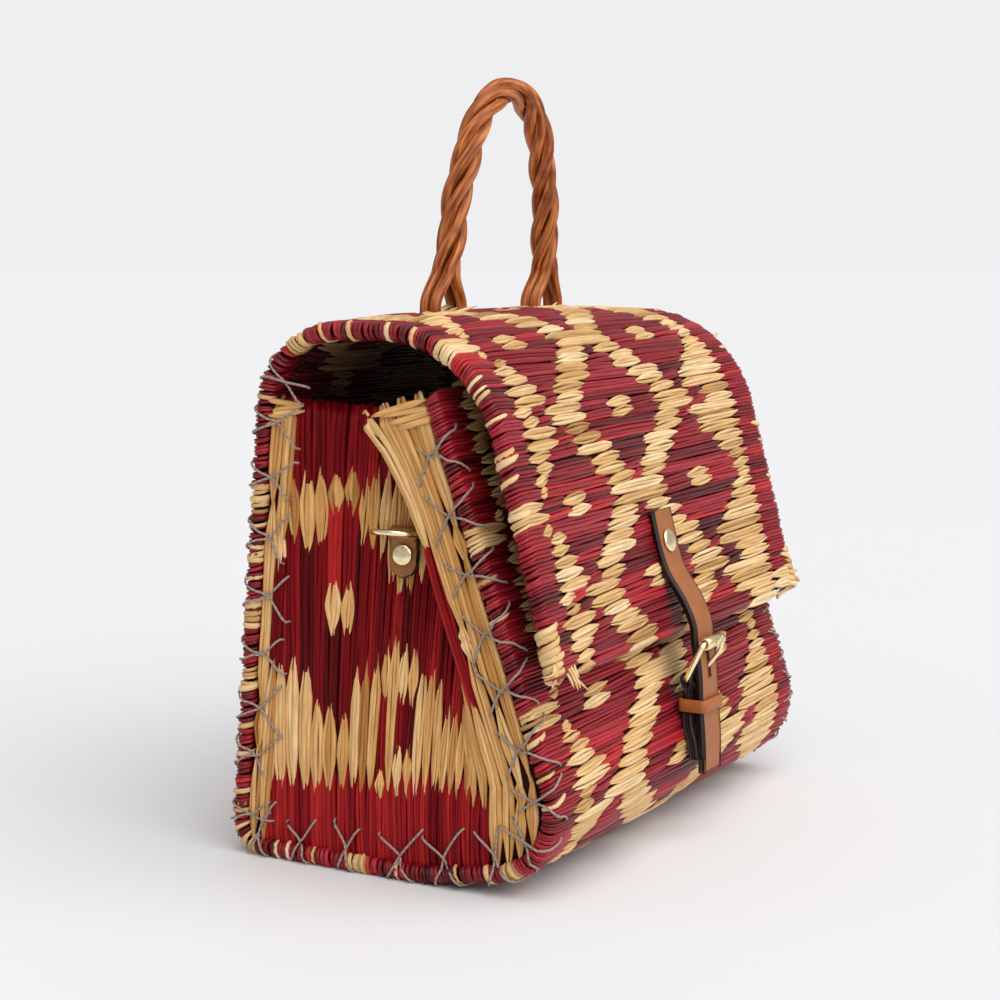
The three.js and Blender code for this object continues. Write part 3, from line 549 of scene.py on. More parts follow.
@dataclass(frozen=True)
class PanelShape:
    """The left end panel: a plate with a fold tucked behind its front border, deeper towards the top.

    Its outer face is a line of four corners at each height: back edge, valley, crease and front edge.
    """

    mat: MatShape
    thickness: float = 6.0
    clearance: float = 0.6
    inset: float = 2.5
    strip_width: float = 24.0
    fold_tuck: float = 12.0
    fold_start_z: float = 40.0
    fold_top_depth: float = 30.0
    foot_z: float = 8.6
    top_z: float = 211.0
    soften: float = 2.0
    ear_z: tuple[float, ...] = (150.0, 170.0, 190.0, 201.0, 211.0)
    ear_strip: tuple[float, ...] = (0.0, 0.0, 0.0, 2.0, 5.0)
    ear_crease: tuple[float, ...] = (0.0, 0.0, -1.0, -3.0, -6.0)
    ear_widen: tuple[float, ...] = (0.0, 1.0, 4.0, 7.0, 10.0)
    ear_flare: tuple[float, ...] = (0.0, 0.0, 2.0, 4.0, 6.0)

    @property
    def off(self) -> float:
        """How far inside the mat's outer face the panel's edge runs."""
        return self.mat.wall + self.clearance

    def climb(self, z: Array) -> Array:
        """0 where the fold starts and 1 at the top."""
        return np.clip((z - self.fold_start_z) / (self.top_z - self.fold_start_z), 0.0, 1.0)

    def front_y(self, z: Array) -> Array:
        """The front edge's y by height. Below the round corner it goes straight down."""
        mat = self.mat
        corner = mat.front_corner[1] + (mat.front_corner_radius - self.off) * math.cos(mat.front_slope)
        level = np.maximum(z, corner)
        return mat.front_toe_y + level / math.tan(mat.front_slope) + self.off / math.sin(mat.front_slope)

    def back_y(self, z: Array) -> Array:
        """The back edge's y by height."""
        mat = self.mat
        centre_y, centre_z = mat.shoulder_centre
        reach = mat.shoulder_radius - self.off
        line = mat.back_heel_y - z * math.tan(mat.back_lean) - self.off / math.cos(mat.back_lean)
        high = centre_y + np.sqrt(np.maximum(reach**2 - (z - centre_z) ** 2, 0.0))
        return np.where(z > centre_z + reach * math.sin(mat.back_lean), high, line)

    def foot(self, y: Array) -> Array:
        """How high the mat's inner face lies under the panel, by y."""
        mat = self.mat
        centre_y, centre_z = mat.front_corner
        reach = mat.front_corner_radius - self.off
        curve = centre_z - np.sqrt(np.maximum(reach**2 - (y - centre_y) ** 2, 0.0))
        rise = np.maximum(mat.flat_front_y - y, 0.0) * math.tan(mat.base_climb)
        climb = self.off / math.cos(mat.base_climb) + rise
        return np.where(y < centre_y - reach * math.sin(mat.base_climb), curve, climb)

    def corners(self, z: Array) -> tuple[Array, Array, Array]:
        """The four corners of the outer face by height.

        Args:
            z: The heights.

        Returns:
            How far in each corner lies, its y, and how far it is lifted, with the corners in the first axis.
        """
        climb = self.climb(z)
        back, front = self.back_y(z), self.front_y(z)
        span = back - front
        crease = front + np.minimum(self.strip_width, 0.3 * span)
        valley = crease - self.fold_tuck * climb + np.minimum(self.fold_tuck, 0.1 * span) * (1.0 - climb)
        ear = {name: np.interp(z, self.ear_z, getattr(self, "ear_" + name))
               for name in ("strip", "crease", "widen", "flare")}
        nought = np.zeros_like(z)
        depth = np.stack([nought, self.fold_top_depth * climb, -ear["flare"], nought])
        y = np.stack([back, valley, crease + ear["widen"], front])
        lift = np.stack([nought, 1.3 * ear["crease"], ear["crease"], ear["strip"]])
        return depth, y, lift

    def legs(self, z: Array) -> Array:
        """Widths of the main face, the fold's return and the front border, by height."""
        depth, y, _ = self.corners(z)
        return np.hypot(np.diff(depth, axis=0), np.diff(y, axis=0))

    def girth(self, z: Array) -> Array:
        """The face's width along its folds, by height."""
        return self.legs(np.minimum(z, self.top_z)).sum(0)

    def _point(self, z: Array, q: Array) -> Array:
        """A point of the outer face at a distance q along its folds from the back edge."""
        depth, y, lift = self.corners(z)
        legs = self.legs(z)
        place = [depth[0], y[0], lift[0]]
        gone = np.zeros_like(z)
        for k in range(3):
            low, high = (-np.inf if k == 0 else 0.0), (np.inf if k == 2 else 1.0)
            share = np.clip((q - gone) / np.maximum(legs[k], 1e-6), low, high)
            for axis, corner in enumerate((depth, y, lift)):
                place[axis] = place[axis] + share * (corner[k + 1] - corner[k])
            gone = gone + legs[k]
        return np.stack([-self.mat.half + self.inset + place[0], place[1], z + place[2]], axis=-1)

    def face(self, z: Array, q: Array, height: Array) -> Array:
        """A point above the outer face, with its folds softened. Above the top it turns over the edge.

        Args:
            z: Heights on the panel.
            q: Distances along the folds from the back edge.
            height: Height above the face.

        Returns:
            The points in millimetres.
        """
        z, q, height = np.broadcast_arrays(np.asarray(z, float), q, height)
        level = np.minimum(z, self.top_z)
        before, here, after = (self._point(level, q + off) for off in (-self.soften, 0.0, self.soften))
        along = after - before
        size = np.maximum(np.hypot(along[..., 0], along[..., 1]), 1e-6)
        normal = np.stack([along[..., 1] / size, -along[..., 0] / size, np.zeros_like(size)], axis=-1)
        skin = self.thickness / 2
        turn = np.minimum((z - level) / skin, math.pi)
        reach = skin + height
        out = reach * np.cos(turn) - skin
        up = reach * np.sin(turn) - np.maximum(z - level - math.pi * skin, 0.0)
        softened = 0.25 * before + 0.5 * here + 0.25 * after
        return softened + normal * out[..., None] + up[..., None] * np.array([0, 0, 1])

    def main_face(self, y: float, z: float) -> Array:
        """A point of the flat main face, at a given y and height."""
        depth, corner_y, _ = self.corners(np.array([z]))
        share = (corner_y[0, 0] - y) / (corner_y[0, 0] - corner_y[1, 0])
        return np.array([-self.mat.half + self.inset + depth[1, 0] * share, y, z])


@dataclass(frozen=True)
class PanelLayer:
    """One layer of an end panel's reeds, mirrored for the right end, with upright strands.

    Across runs towards the front from y = 0 on the main face, and from the crease on the fold's return.
    On the back and front borders it is the distance from their edge.
    """

    panel: PanelShape
    layer: Layer
    end: End = End.LEFT
    crosswise: bool = False

    def distance(self, z: Array, across: Array) -> Array:
        """How far along the folds from the back edge a strand lies.

        Args:
            z: Heights on the panel.
            across: Where the strand lies across the layer.

        Returns:
            The distances.
        """
        level = np.minimum(np.asarray(z, float), self.panel.top_z)
        legs = self.panel.legs(level)
        if self.layer is Layer.MAIN:
            corner = self.panel.corners(level)[1]
            away, wide = corner[0] + across, corner[0] - corner[1]
            return np.where(away < wide, away * legs[0] / wide, legs[0] + away - wide)
        if self.layer is Layer.RETURN:
            return legs[0] + legs[1] - across
        if self.layer is Layer.BORDER:
            return legs.sum(0) - across * legs[2] / self.panel.strip_width
        return across

    def place(self, along: Array, across: Array, height: Array) -> Array:
        """Places points on the layer: along is z, unless the strands lie crosswise.

        Args:
            along: Distance along the strands.
            across: Distance across them.
            height: Height above the face.

        Returns:
            The points in millimetres.
        """
        if self.crosswise:
            along, across = across, along
        points = self.panel.face(along, self.distance(along, across), height)
        return points * np.array([-self.end.value, 1.0, 1.0])


# Making meshes


class TubeTemplate:
    """A short closed tube of rings, which is copied into joined meshes of many strands."""

    def __init__(self, rings: int, sides: int) -> None:
        """Wraps a grid into a tube and closes its two ends.

        Args:
            rings: How many rings the tube has.
            sides: How many corners each ring has.
        """
        self.rings, self.sides = rings, sides
        bm = bmesh.new()
        bmesh.ops.create_grid(bm, x_segments=sides, y_segments=rings - 1, size=1.0)
        faces = [[self._number(vert.co) for vert in face.verts] for face in bm.faces]
        bm.free()
        last = (rings - 1) * sides
        faces.append(list(range(sides))[::-1])
        faces.append(list(range(last, last + sides)))
        self.loops = np.concatenate([np.array(face) for face in faces])
        self.totals = np.array([len(face) for face in faces])

    def _number(self, place: Vector) -> int:
        """The number of the ring corner at a place of the grid."""
        side = round((place.x + 1) / 2 * self.sides) % self.sides
        return round((place.y + 1) / 2 * (self.rings - 1)) * self.sides + side

    @property
    def angles(self) -> Array:
        """The angle of each corner round a ring."""
        return np.arange(self.sides) * 2 * math.pi / self.sides

    def fibre(self, gone: Array) -> Array:
        """Fibre vectors for distances along the strands, given by strand and ring."""
        angles = self.angles[None, None, :]
        return np.stack(np.broadcast_arrays(gone, np.cos(angles), np.sin(angles)), axis=-1)

    def joined(self, name: str, points: Array, values: dict[str, Array], material: Finish,
               ) -> Piece:
        """Joins one tube for each set of points into a single object.

        Args:
            name: The object's name.
            points: Points in millimetres, by strand, ring, corner and axis.
            values: Numbers or vectors for each point or strand, kept as point attributes.
            material: The finish.

        Returns:
            The object.
        """
        count = len(points)
        per = self.rings * self.sides
        loops = (self.loops[None, :] + per * np.arange(count)[:, None]).ravel()
        first = points[0].reshape(-1, 3)
        if self._volume(first - first.mean(0)) < 0:
            loops = loops[::-1]
            totals = np.tile(self.totals, count)[::-1]
        else:
            totals = np.tile(self.totals, count)
        mesh = bpy.data.meshes.new(name)
        mesh.vertices.add(count * per)
        mesh.vertices.foreach_set("co", (points.reshape(-1) * MM).astype(np.float32))
        mesh.loops.add(len(loops))
        mesh.loops.foreach_set("vertex_index", loops.astype(np.int32))
        mesh.polygons.add(len(totals))
        mesh.polygons.foreach_set("loop_start", np.r_[0, np.cumsum(totals)[:-1]].astype(np.int32))
        mesh.update(calc_edges=True)
        mesh.shade_smooth()
        for key, value in values.items():
            write_attribute(mesh, key, spread(value, points.shape[:3]))
        return finished(name, mesh, material)

    def _volume(self, points: Array) -> float:
        """Six times the volume inside one tube, which is negative if its faces point in."""
        starts = np.r_[0, np.cumsum(self.totals)[:-1]]
        total = 0.0
        for start, corners in zip(starts, self.totals):
            ring = points[self.loops[start:start + corners]]
            for k in range(1, corners - 1):
                total += float(np.dot(ring[0], np.cross(ring[k], ring[k + 1])))
        return total


def spread(value: Array, shape: tuple[int, int, int]) -> Array:
    """Repeats a value of each strand, or of each ring, over all points.

    Args:
        value: Numbers by strand, by strand and ring, or by point, or vectors by point.
        shape: Counts of strands, rings and corners.

    Returns:
        One number or vector for each point.
    """
    if value.ndim == 4:
        return value.reshape(-1, 3)
    while value.ndim < 3:
        value = value[..., None]
    return np.broadcast_to(value, shape).reshape(-1)


def write_attribute(mesh: bpy.types.Mesh, name: str, values: Array) -> None:
    """Writes a point attribute.

    Args:
        mesh: The mesh.
        name: The attribute's name.
        values: A number or a vector for each vertex.
    """
    vector = values.ndim == 2
    attribute = mesh.attributes.new(name, "FLOAT_VECTOR" if vector else "FLOAT", "POINT")
    key = "vector" if vector else "value"
    attribute.data.foreach_set(key, np.ascontiguousarray(values, np.float32).reshape(-1))


def finished(name: str, mesh: bpy.types.Mesh, *materials: Finish) -> Piece:
    """Puts a mesh into the scene with its finishes.

    Args:
        name: The object's name.
        mesh: Its mesh, in metres.
        materials: Its finishes, in the order of the faces' material numbers.

    Returns:
        The object.
    """
    for material in materials:
        mesh.materials.append(material)
    piece = bpy.data.objects.new(name, mesh)
    bpy.context.scene.collection.objects.link(piece)
    return piece


def dressed(piece: Piece, node: str | None = None, body: Body = Body.BAG) -> Piece:
    """Hides the part that a piece replaces, if any, and puts the piece on its body.

    Args:
        piece: The piece.
        node: The node that it stands for, if it replaces one.
        body: The body that it rides on.

    Returns:
        The piece.
    """
    if node:
        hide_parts(node)
    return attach(piece, body.value)


def from_bmesh(name: str, bm: Solid, *materials: Finish) -> Piece:
    """Turns a bmesh in millimetres into a smooth object and frees it.

    Args:
        name: The object's name.
        bm: The bmesh.
        materials: Its finishes.

    Returns:
        The object.
    """
    bmesh.ops.scale(bm, vec=(MM, MM, MM), verts=bm.verts)
    mesh = bpy.data.meshes.new(name)
    bm.to_mesh(mesh)
    bm.free()
    mesh.shade_smooth()
    return finished(name, mesh, *materials)


def mirrored(bm: Solid, end: End) -> Solid:
    """Turns a bmesh made for the left end into the right one, where that is asked.

    Args:
        bm: The bmesh.
        end: The end that it is for.

    Returns:
        The same bmesh.
    """
    if end is End.RIGHT:
        bmesh.ops.scale(bm, vec=(-1, 1, 1), verts=bm.verts)
        bmesh.ops.reverse_faces(bm, faces=bm.faces)
    return bm


def travelling_frames(path: Array, closed: bool, up: Sequence[float] | None) -> list[Matrix]:
    """Frames along a line that turn as little as they can, or keep to an upward direction.

    Args:
        path: The line's points.
        closed: Whether its last point leads back to the first.
        up: A direction that the frames' second axis keeps near, or None.

    Returns:
        A matrix for each point, with the line's heading as its third axis.
    """
    if closed:
        heading = np.roll(path, -1, 0) - np.roll(path, 1, 0)
    else:
        heading = np.gradient(path, axis=0)
    heading = unit(heading)
    second = np.array(up if up is not None else np.roll(np.abs(heading[0]), 1), float)
    frames = []
    for point, along in zip(path, heading):
        if up is not None:
            second = np.array(up, float)
        second = unit(second - along * np.dot(second, along))
        frames.append(placing(np.cross(second, along), second, along, point))
    return frames


def swept(path: Array, sizes: Array | float, section: int | Sequence[Point] = 12, closed: bool = False,
          up: Sequence[float] | None = None) -> Solid:
    """Sweeps a round or drawn section along a line by extruding it from place to place.

    Args:
        path: The line's points in millimetres.
        sizes: The section's scale at each point, or one for all. For a round section it is the radius.
        section: The number of sides of a round section, or the corners of a drawn one.
        closed: Whether the line closes on itself.
        up: A direction that the section's second axis keeps near, or None.

    Returns:
        A closed bmesh, with fibre as a vector of distance along and the place round the section.
    """
    sizes = np.broadcast_to(np.asarray(sizes, float), len(path))
    frames = travelling_frames(path, closed, up)
    places = [base @ Matrix.Diagonal((size, size, 1, 1)) for base, size in zip(frames, sizes)]
    gone = distances(path)
    bm = bmesh.new()
    fibre = bm.verts.layers.float_vector.new("fibre")
    if isinstance(section, int):
        ring = bmesh.ops.create_circle(bm, segments=section, radius=1.0)["verts"]
    else:
        ring = [bm.verts.new((u, v, 0)) for u, v in section]
        for k, vert in enumerate(ring):
            bm.edges.new((vert, ring[(k + 1) % len(ring)]))
    for vert in ring:
        vert[fibre] = (0.0, vert.co.x, vert.co.y)
    first = edges = list(bm.edges)
    bmesh.ops.transform(bm, matrix=places[0], verts=ring)
    for before, here, along in zip(places[:-1], places[1:], gone[1:]):
        made = bmesh.ops.extrude_edge_only(bm, edges=edges)["geom"]
        verts = [item for item in made if isinstance(item, bmesh.types.BMVert)]
        edges = [item for item in made if isinstance(item, bmesh.types.BMEdge)]
        bmesh.ops.transform(bm, matrix=here @ before.inverted(), verts=verts)
        for vert in verts:
            vert[fibre] = (along, vert[fibre].y, vert[fibre].z)
    if closed:
        bmesh.ops.bridge_loops(bm, edges=first + edges)
    else:
        bmesh.ops.holes_fill(bm, edges=first + edges, sides=0)
    bmesh.ops.recalc_face_normals(bm, faces=bm.faces)
    return bm


def spun(profile: Sequence[Point], steps: int) -> Solid:
    """Turns a profile of (radius, height) pairs about the z axis.

    Args:
        profile: The profile's points.
        steps: How many steps the turn has.

    Returns:
        A closed bmesh.
    """
    bm = bmesh.new()
    verts = [bm.verts.new((radius, 0, height)) for radius, height in profile]
    edges = [bm.edges.new(pair) for pair in zip(verts[:-1], verts[1:])]
    bmesh.ops.spin(bm, geom=verts + edges, cent=(0, 0, 0), axis=(0, 0, 1), angle=2 * math.pi, steps=steps,
                   use_merge=True)
    bmesh.ops.remove_doubles(bm, verts=bm.verts, dist=1e-4)
    bmesh.ops.recalc_face_normals(bm, faces=bm.faces)
    return bm


def bent_band(line: Array, widths: Array | float, thickness: float, across: int, side: Vector,
              gap: tuple[float, float, float] | None = None) -> Solid:
    """Makes a leather band along a line, with bevelled edges, and bends it from flat.

    Args:
        line: The middle line's points, evenly spaced.
        widths: The band's width at each point, or one for all.
        thickness: Its thickness.
        across: How many faces it has across its width.
        side: The direction of its width.
        gap: A slit as (half width, start, end), in shares of the line's length, or None.

    Returns:
        The bent band. Face material 0 is its face and 1 its edges and back.
    """
    widths = np.broadcast_to(np.asarray(widths, float), len(line))
    steps = len(line) - 1
    length = float(distances(line)[-1])
    bm = bmesh.new()
    grain = bm.verts.layers.float_vector.new("fibre")
    rim = bm.verts.layers.float.new("rim")
    bmesh.ops.create_grid(bm, x_segments=across, y_segments=steps, size=1.0)
    if gap:
        slit = [face for face in bm.faces
                if abs(face.calc_center_median().x) * widths[0] / 2 < gap[0]
                and gap[1] < (face.calc_center_median().y + 1) / 2 < gap[2]]
        bmesh.ops.delete(bm, geom=slit, context="FACES")
    bmesh.ops.recalc_face_normals(bm, faces=bm.faces)
    raised = bmesh.ops.extrude_face_region(bm, geom=list(bm.faces), use_keep_orig=True)["geom"]
    lifted = [item for item in raised if isinstance(item, bmesh.types.BMVert)]
    bmesh.ops.translate(bm, vec=(0, 0, 1), verts=lifted)
    bmesh.ops.recalc_face_normals(bm, faces=bm.faces)
    rims = [edge for edge in bm.edges if len(edge.link_faces) == 2 and edge.calc_face_angle(0.0) > 1.0]
    heading = unit(np.gradient(line, axis=0))
    sideways = np.array(side, float)
    for face in bm.faces:
        face.material_index = 0 if face.normal.z > 0.5 else 1
    for vert in bm.verts:
        at = (vert.co.y + 1) / 2 * steps
        index = min(int(at), steps - 1)
        share = at - index
        point = line[index] * (1 - share) + line[index + 1] * share
        along = heading[index] * (1 - share) + heading[index + 1] * share
        normal = unit(np.cross(sideways, along))
        width = widths[index] * (1 - share) + widths[index + 1] * share
        vert[grain] = (at / steps * length, vert.co.x * width / 2, vert.co.z * thickness)
        vert[rim] = abs(vert.co.x)
        place = point + sideways * (vert.co.x * width / 2) + normal * (vert.co.z - 0.5) * thickness
        vert.co = Vector(place)
    bmesh.ops.bevel(bm, geom=rims, offset=0.16 * thickness, offset_type="OFFSET", affect="EDGES", segments=2,
                    profile=0.5, material=-1)
    bmesh.ops.recalc_face_normals(bm, faces=bm.faces)
    return bm


# Finishes


class NodeSheet:
    """A material's node tree, with short calls for its nodes and links."""

    def __init__(self, name: str) -> None:
        """Starts a material with its shader."""
        self.material = bpy.data.materials.new(name)
        self.material.use_nodes = True
        self.tree = self.material.node_tree
        self.shader = self.tree.nodes["Principled BSDF"]

    def node(self, kind: str, links: dict[str | int, Socket] | None = None,
             inputs: dict[str | int, object] | None = None, **settings: object) -> bpy.types.Node:
        """Adds a node.

        Args:
            kind: The node's type, without its ShaderNode prefix.
            links: Output sockets linked to its inputs.
            inputs: Values set on its inputs.
            settings: The node's own properties.

        Returns:
            The node.
        """
        made = self.tree.nodes.new("ShaderNode" + kind)
        for key, value in settings.items():
            setattr(made, key, value)
        for key, value in (inputs or {}).items():
            made.inputs[key].default_value = value
        for key, socket in (links or {}).items():
            self.tree.links.new(socket, made.inputs[key])
        return made

    def attribute(self, name: str) -> bpy.types.Node:
        """Reads a point attribute."""
        return self.node("Attribute", attribute_name=name)

    def ramp(self, factor: Socket, stops: Ramp) -> Socket:
        """Turns a number into a colour.

        Args:
            factor: The number.
            stops: Places from 0 to 1 and their colours.

        Returns:
            The colour socket.
        """
        made = self.node("ValToRGB", {"Fac": factor})
        elements = made.color_ramp.elements
        while len(elements) < len(stops):
            elements.new(0.5)
        for element, (place, colour) in zip(elements, stops):
            element.position = place
            element.color = (*colour, 1.0)
        return made.outputs["Color"]

    def mixed(self, factor: Socket | float, first: Socket | Colour,
              second: Socket | Colour, blend: str = "MIX") -> Socket:
        """Mixes two colours.

        Args:
            factor: The share of the second.
            first: The first colour.
            second: The second colour.
            blend: How they are mixed.

        Returns:
            The mixed colour socket.
        """
        made = self.node("Mix", data_type="RGBA", blend_type=blend)
        for key, value in ((0, factor), (6, first), (7, second)):
            if isinstance(value, Socket):
                self.tree.links.new(value, made.inputs[key])
            else:
                made.inputs[key].default_value = value if key == 0 else (*value, 1.0)
        return made.outputs[2]

    def tinted(self, colour: Socket, share: float, factor: Socket, *stops: tuple[float, Colour]) -> Socket:
        """Multiplies a colour, by a share, with a ramp of tints."""
        return self.mixed(share, colour, self.ramp(factor, stops), "MULTIPLY")

    def scaled(self, value: Socket, low: float, high: float) -> Socket:
        """Maps a number from 0 to 1 onto another range."""
        made = self.node("MapRange", {"Value": value}, {"To Min": low, "To Max": high})
        return made.outputs["Result"]

    def noise(self, place: Socket, scale: float, stretch: Colour = (1, 1, 1), detail: float = 2.0,
              ) -> Socket:
        """Noise, which may be stretched along an axis.

        Args:
            place: The coordinates.
            scale: The noise's scale.
            stretch: A factor for each axis of the coordinates.
            detail: How fine its smallest detail is.

        Returns:
            The noise's value socket.
        """
        mapped = self.node("Mapping", {"Vector": place}, {"Scale": stretch}).outputs["Vector"]
        made = self.node("TexNoise", {"Vector": mapped}, {"Scale": scale, "Detail": detail})
        return made.outputs["Fac"]

    def bump(self, height: Socket, strength: float, distance: float) -> None:
        """Raises the surface by a height."""
        made = self.node("Bump", {"Height": height}, {"Strength": strength, "Distance": distance})
        self.tree.links.new(made.outputs["Normal"], self.shader.inputs["Normal"])

    def set(self, **values: object) -> Finish:
        """Sets or links the shader's inputs.

        Args:
            values: Values or sockets by input name, with _ for a space.

        Returns:
            The material.
        """
        for key, value in values.items():
            socket = self.shader.inputs[key.replace("_", " ")]
            if isinstance(value, Socket):
                self.tree.links.new(value, socket)
            else:
                socket.default_value = value
        return self.material


@dataclass(frozen=True)
class ReedFinish:
    """Split reed, natural or dyed red, with its fibres along each strand."""

    name: str = "reed"
    natural: Ramp = (
        (0.0, (0.46, 0.235, 0.075)),
        (0.3, (0.69, 0.43, 0.170)),
        (0.65, (0.80, 0.55, 0.265)),
        (1.0, (0.88, 0.67, 0.39)),
    )
    dyed: Ramp = (
        (0.0, (0.080, 0.003, 0.007)),
        (0.25, (0.17, 0.004, 0.009)),
        (0.5, (0.28, 0.007, 0.014)),
        (0.78, (0.38, 0.020, 0.034)),
        (1.0, (0.52, 0.020, 0.024)),
    )
    roughness: tuple[float, float] = (0.55, 0.40)
    specular: float = 0.34

    def material(self) -> Finish:
        """Builds the finish from the dye, tone and fibre attributes."""
        sheet = NodeSheet(self.name)
        dye = sheet.attribute("dye").outputs["Fac"]
        tone = sheet.attribute("tone").outputs["Fac"]
        fibre = sheet.attribute("fibre").outputs["Vector"]
        colour = sheet.mixed(dye, sheet.ramp(tone, self.natural), sheet.ramp(tone, self.dyed))
        streaks = sheet.noise(fibre, 1.0, (0.10, 2.6, 2.6), 3.0)
        colour = sheet.tinted(colour, 0.55, streaks, (0.28, (0.45, 0.42, 0.40)), (0.62, (1.12, 1.1, 1.08)))
        patches = sheet.noise(fibre, 1.0, (0.055, 0.25, 0.25), 1.0)
        colour = sheet.tinted(colour, 0.45, patches, (0.35, (0.72, 0.66, 0.62)), (0.65, (1.1, 1.1, 1.12)))
        rough = sheet.scaled(dye, *self.roughness)
        sheet.bump(streaks, 0.35, 0.0004)
        return sheet.set(Base_Color=colour, Roughness=rough, Specular_IOR_Level=self.specular)


@dataclass(frozen=True)
class CoreShadeFinish:
    """The mat's own core, seen only between strands, made nearly black as painted shade in the gaps."""

    name: str = "mat_core"
    dark: Colour = (0.022, 0.003, 0.004)
    light: Colour = (0.060, 0.014, 0.009)

    def material(self) -> Finish:
        """Builds a dull, streaky straw, nearly black as painted shade."""
        sheet = NodeSheet(self.name)
        place = sheet.node("TexCoord").outputs["Object"]
        streaks = sheet.noise(place, 300.0, (0.1, 1.0, 1.0))
        return sheet.set(Base_Color=sheet.mixed(streaks, self.dark, self.light), Roughness=0.85,
                         Specular_IOR_Level=0.05)


@dataclass(frozen=True)
class WillowFinish:
    """Peeled, stained willow with a satin face, fine grain and darker knots."""

    name: str = "willow"
    light: Colour = (0.70, 0.270, 0.085)
    middle: Colour = (0.36, 0.090, 0.013)
    dark: Colour = (0.13, 0.020, 0.002)

    def material(self) -> Finish:
        """Builds the finish from the fibre and knot attributes."""
        sheet = NodeSheet(self.name)
        fibre = sheet.attribute("fibre").outputs["Vector"]
        knot = sheet.attribute("knot").outputs["Fac"]
        grain = sheet.noise(fibre, 1.0, (0.07, 1.7, 1.7), 3.0)
        blotch = sheet.noise(fibre, 1.0, (0.06, 0.9, 0.9), 2.0)
        colour = sheet.ramp(grain, ((0.30, self.dark), (0.48, self.middle), (0.72, self.light)))
        colour = sheet.tinted(colour, 0.6, blotch, (0.35, (0.6, 0.52, 0.48)), (0.62, (1.15, 1.1, 1.05)))
        colour = sheet.mixed(knot, colour, self.dark)
        sheet.bump(grain, 0.45, 0.0007)
        rough = sheet.scaled(grain, 0.36, 0.54)
        return sheet.set(Base_Color=colour, Roughness=rough, Specular_IOR_Level=0.32)


@dataclass(frozen=True)
class LeatherFinish:
    """Vegetable tanned leather with pores, light creases and darker rims."""

    name: str
    light: Colour
    dark: Colour
    roughness: tuple[float, float] = (0.42, 0.6)

    def material(self) -> Finish:
        """Builds the finish from object coordinates and the rim attribute."""
        sheet = NodeSheet(self.name)
        place = sheet.node("TexCoord").outputs["Object"]
        rim = sheet.attribute("rim").outputs["Fac"]
        cloud = sheet.noise(place, 160.0, detail=4.0)
        pores = sheet.noise(place, 2600.0, detail=2.0)
        cells = sheet.node("TexVoronoi", {"Vector": place}, {"Scale": 1500.0}).outputs["Distance"]
        edge = sheet.ramp(rim, ((0.80, (0.0, 0.0, 0.0)), (1.0, (0.75, 0.75, 0.75))))
        colour = sheet.mixed(cloud, self.dark, self.light)
        colour = sheet.mixed(edge, colour, self.dark)
        fine = sheet.mixed(0.5, pores, cells)
        colour = sheet.tinted(colour, 0.3, fine, (0.2, (0.6, 0.55, 0.5)), (0.6, (1.1, 1.1, 1.1)))
        sheet.bump(fine, 0.25, 0.0003)
        return sheet.set(Base_Color=colour, Roughness=sheet.scaled(cloud, *self.roughness))


@dataclass(frozen=True)
class BrassFinish:
    """Polished brass with faint wear and a soft bloom."""

    name: str = "brass"
    bright: Colour = (0.98, 0.87, 0.56)
    dull: Colour = (0.86, 0.66, 0.34)

    def material(self) -> Finish:
        """Builds the finish from object coordinates."""
        sheet = NodeSheet(self.name)
        place = sheet.node("TexCoord").outputs["Object"]
        wear = sheet.noise(place, 420.0, detail=4.0)
        scratch = sheet.noise(place, 900.0, (1.0, 0.12, 0.12), 2.0)
        sheet.bump(scratch, 0.06, 0.0002)
        colour = sheet.ramp(wear, ((0.32, self.dull), (0.55, self.bright)))
        return sheet.set(Base_Color=colour, Metallic=1.0, Roughness=sheet.scaled(wear, 0.30, 0.16))


@dataclass(frozen=True)
class LinenFinish:
    """Grey-beige twisted linen thread."""

    name: str = "linen"
    light: Colour = (0.43, 0.34, 0.285)
    dark: Colour = (0.25, 0.19, 0.155)

    def material(self) -> Finish:
        """Builds the finish with its twist from the fibre attribute."""
        sheet = NodeSheet(self.name)
        fibre = sheet.attribute("fibre").outputs["Vector"]
        twist = sheet.node("TexWave", {"Vector": fibre}, {"Scale": 0.32, "Distortion": 1.2, "Detail": 2.0},
                           bands_direction="DIAGONAL").outputs["Fac"]
        fuzz = sheet.noise(fibre, 1.0, (0.8, 3.0, 3.0), 3.0)
        colour = sheet.mixed(twist, self.dark, self.light)
        colour = sheet.tinted(colour, 0.5, fuzz, (0.3, (0.7, 0.7, 0.7)), (0.65, (1.15, 1.15, 1.15)))
        sheet.bump(twist, 0.5, 0.0005)
        return sheet.set(Base_Color=colour, Roughness=0.85)


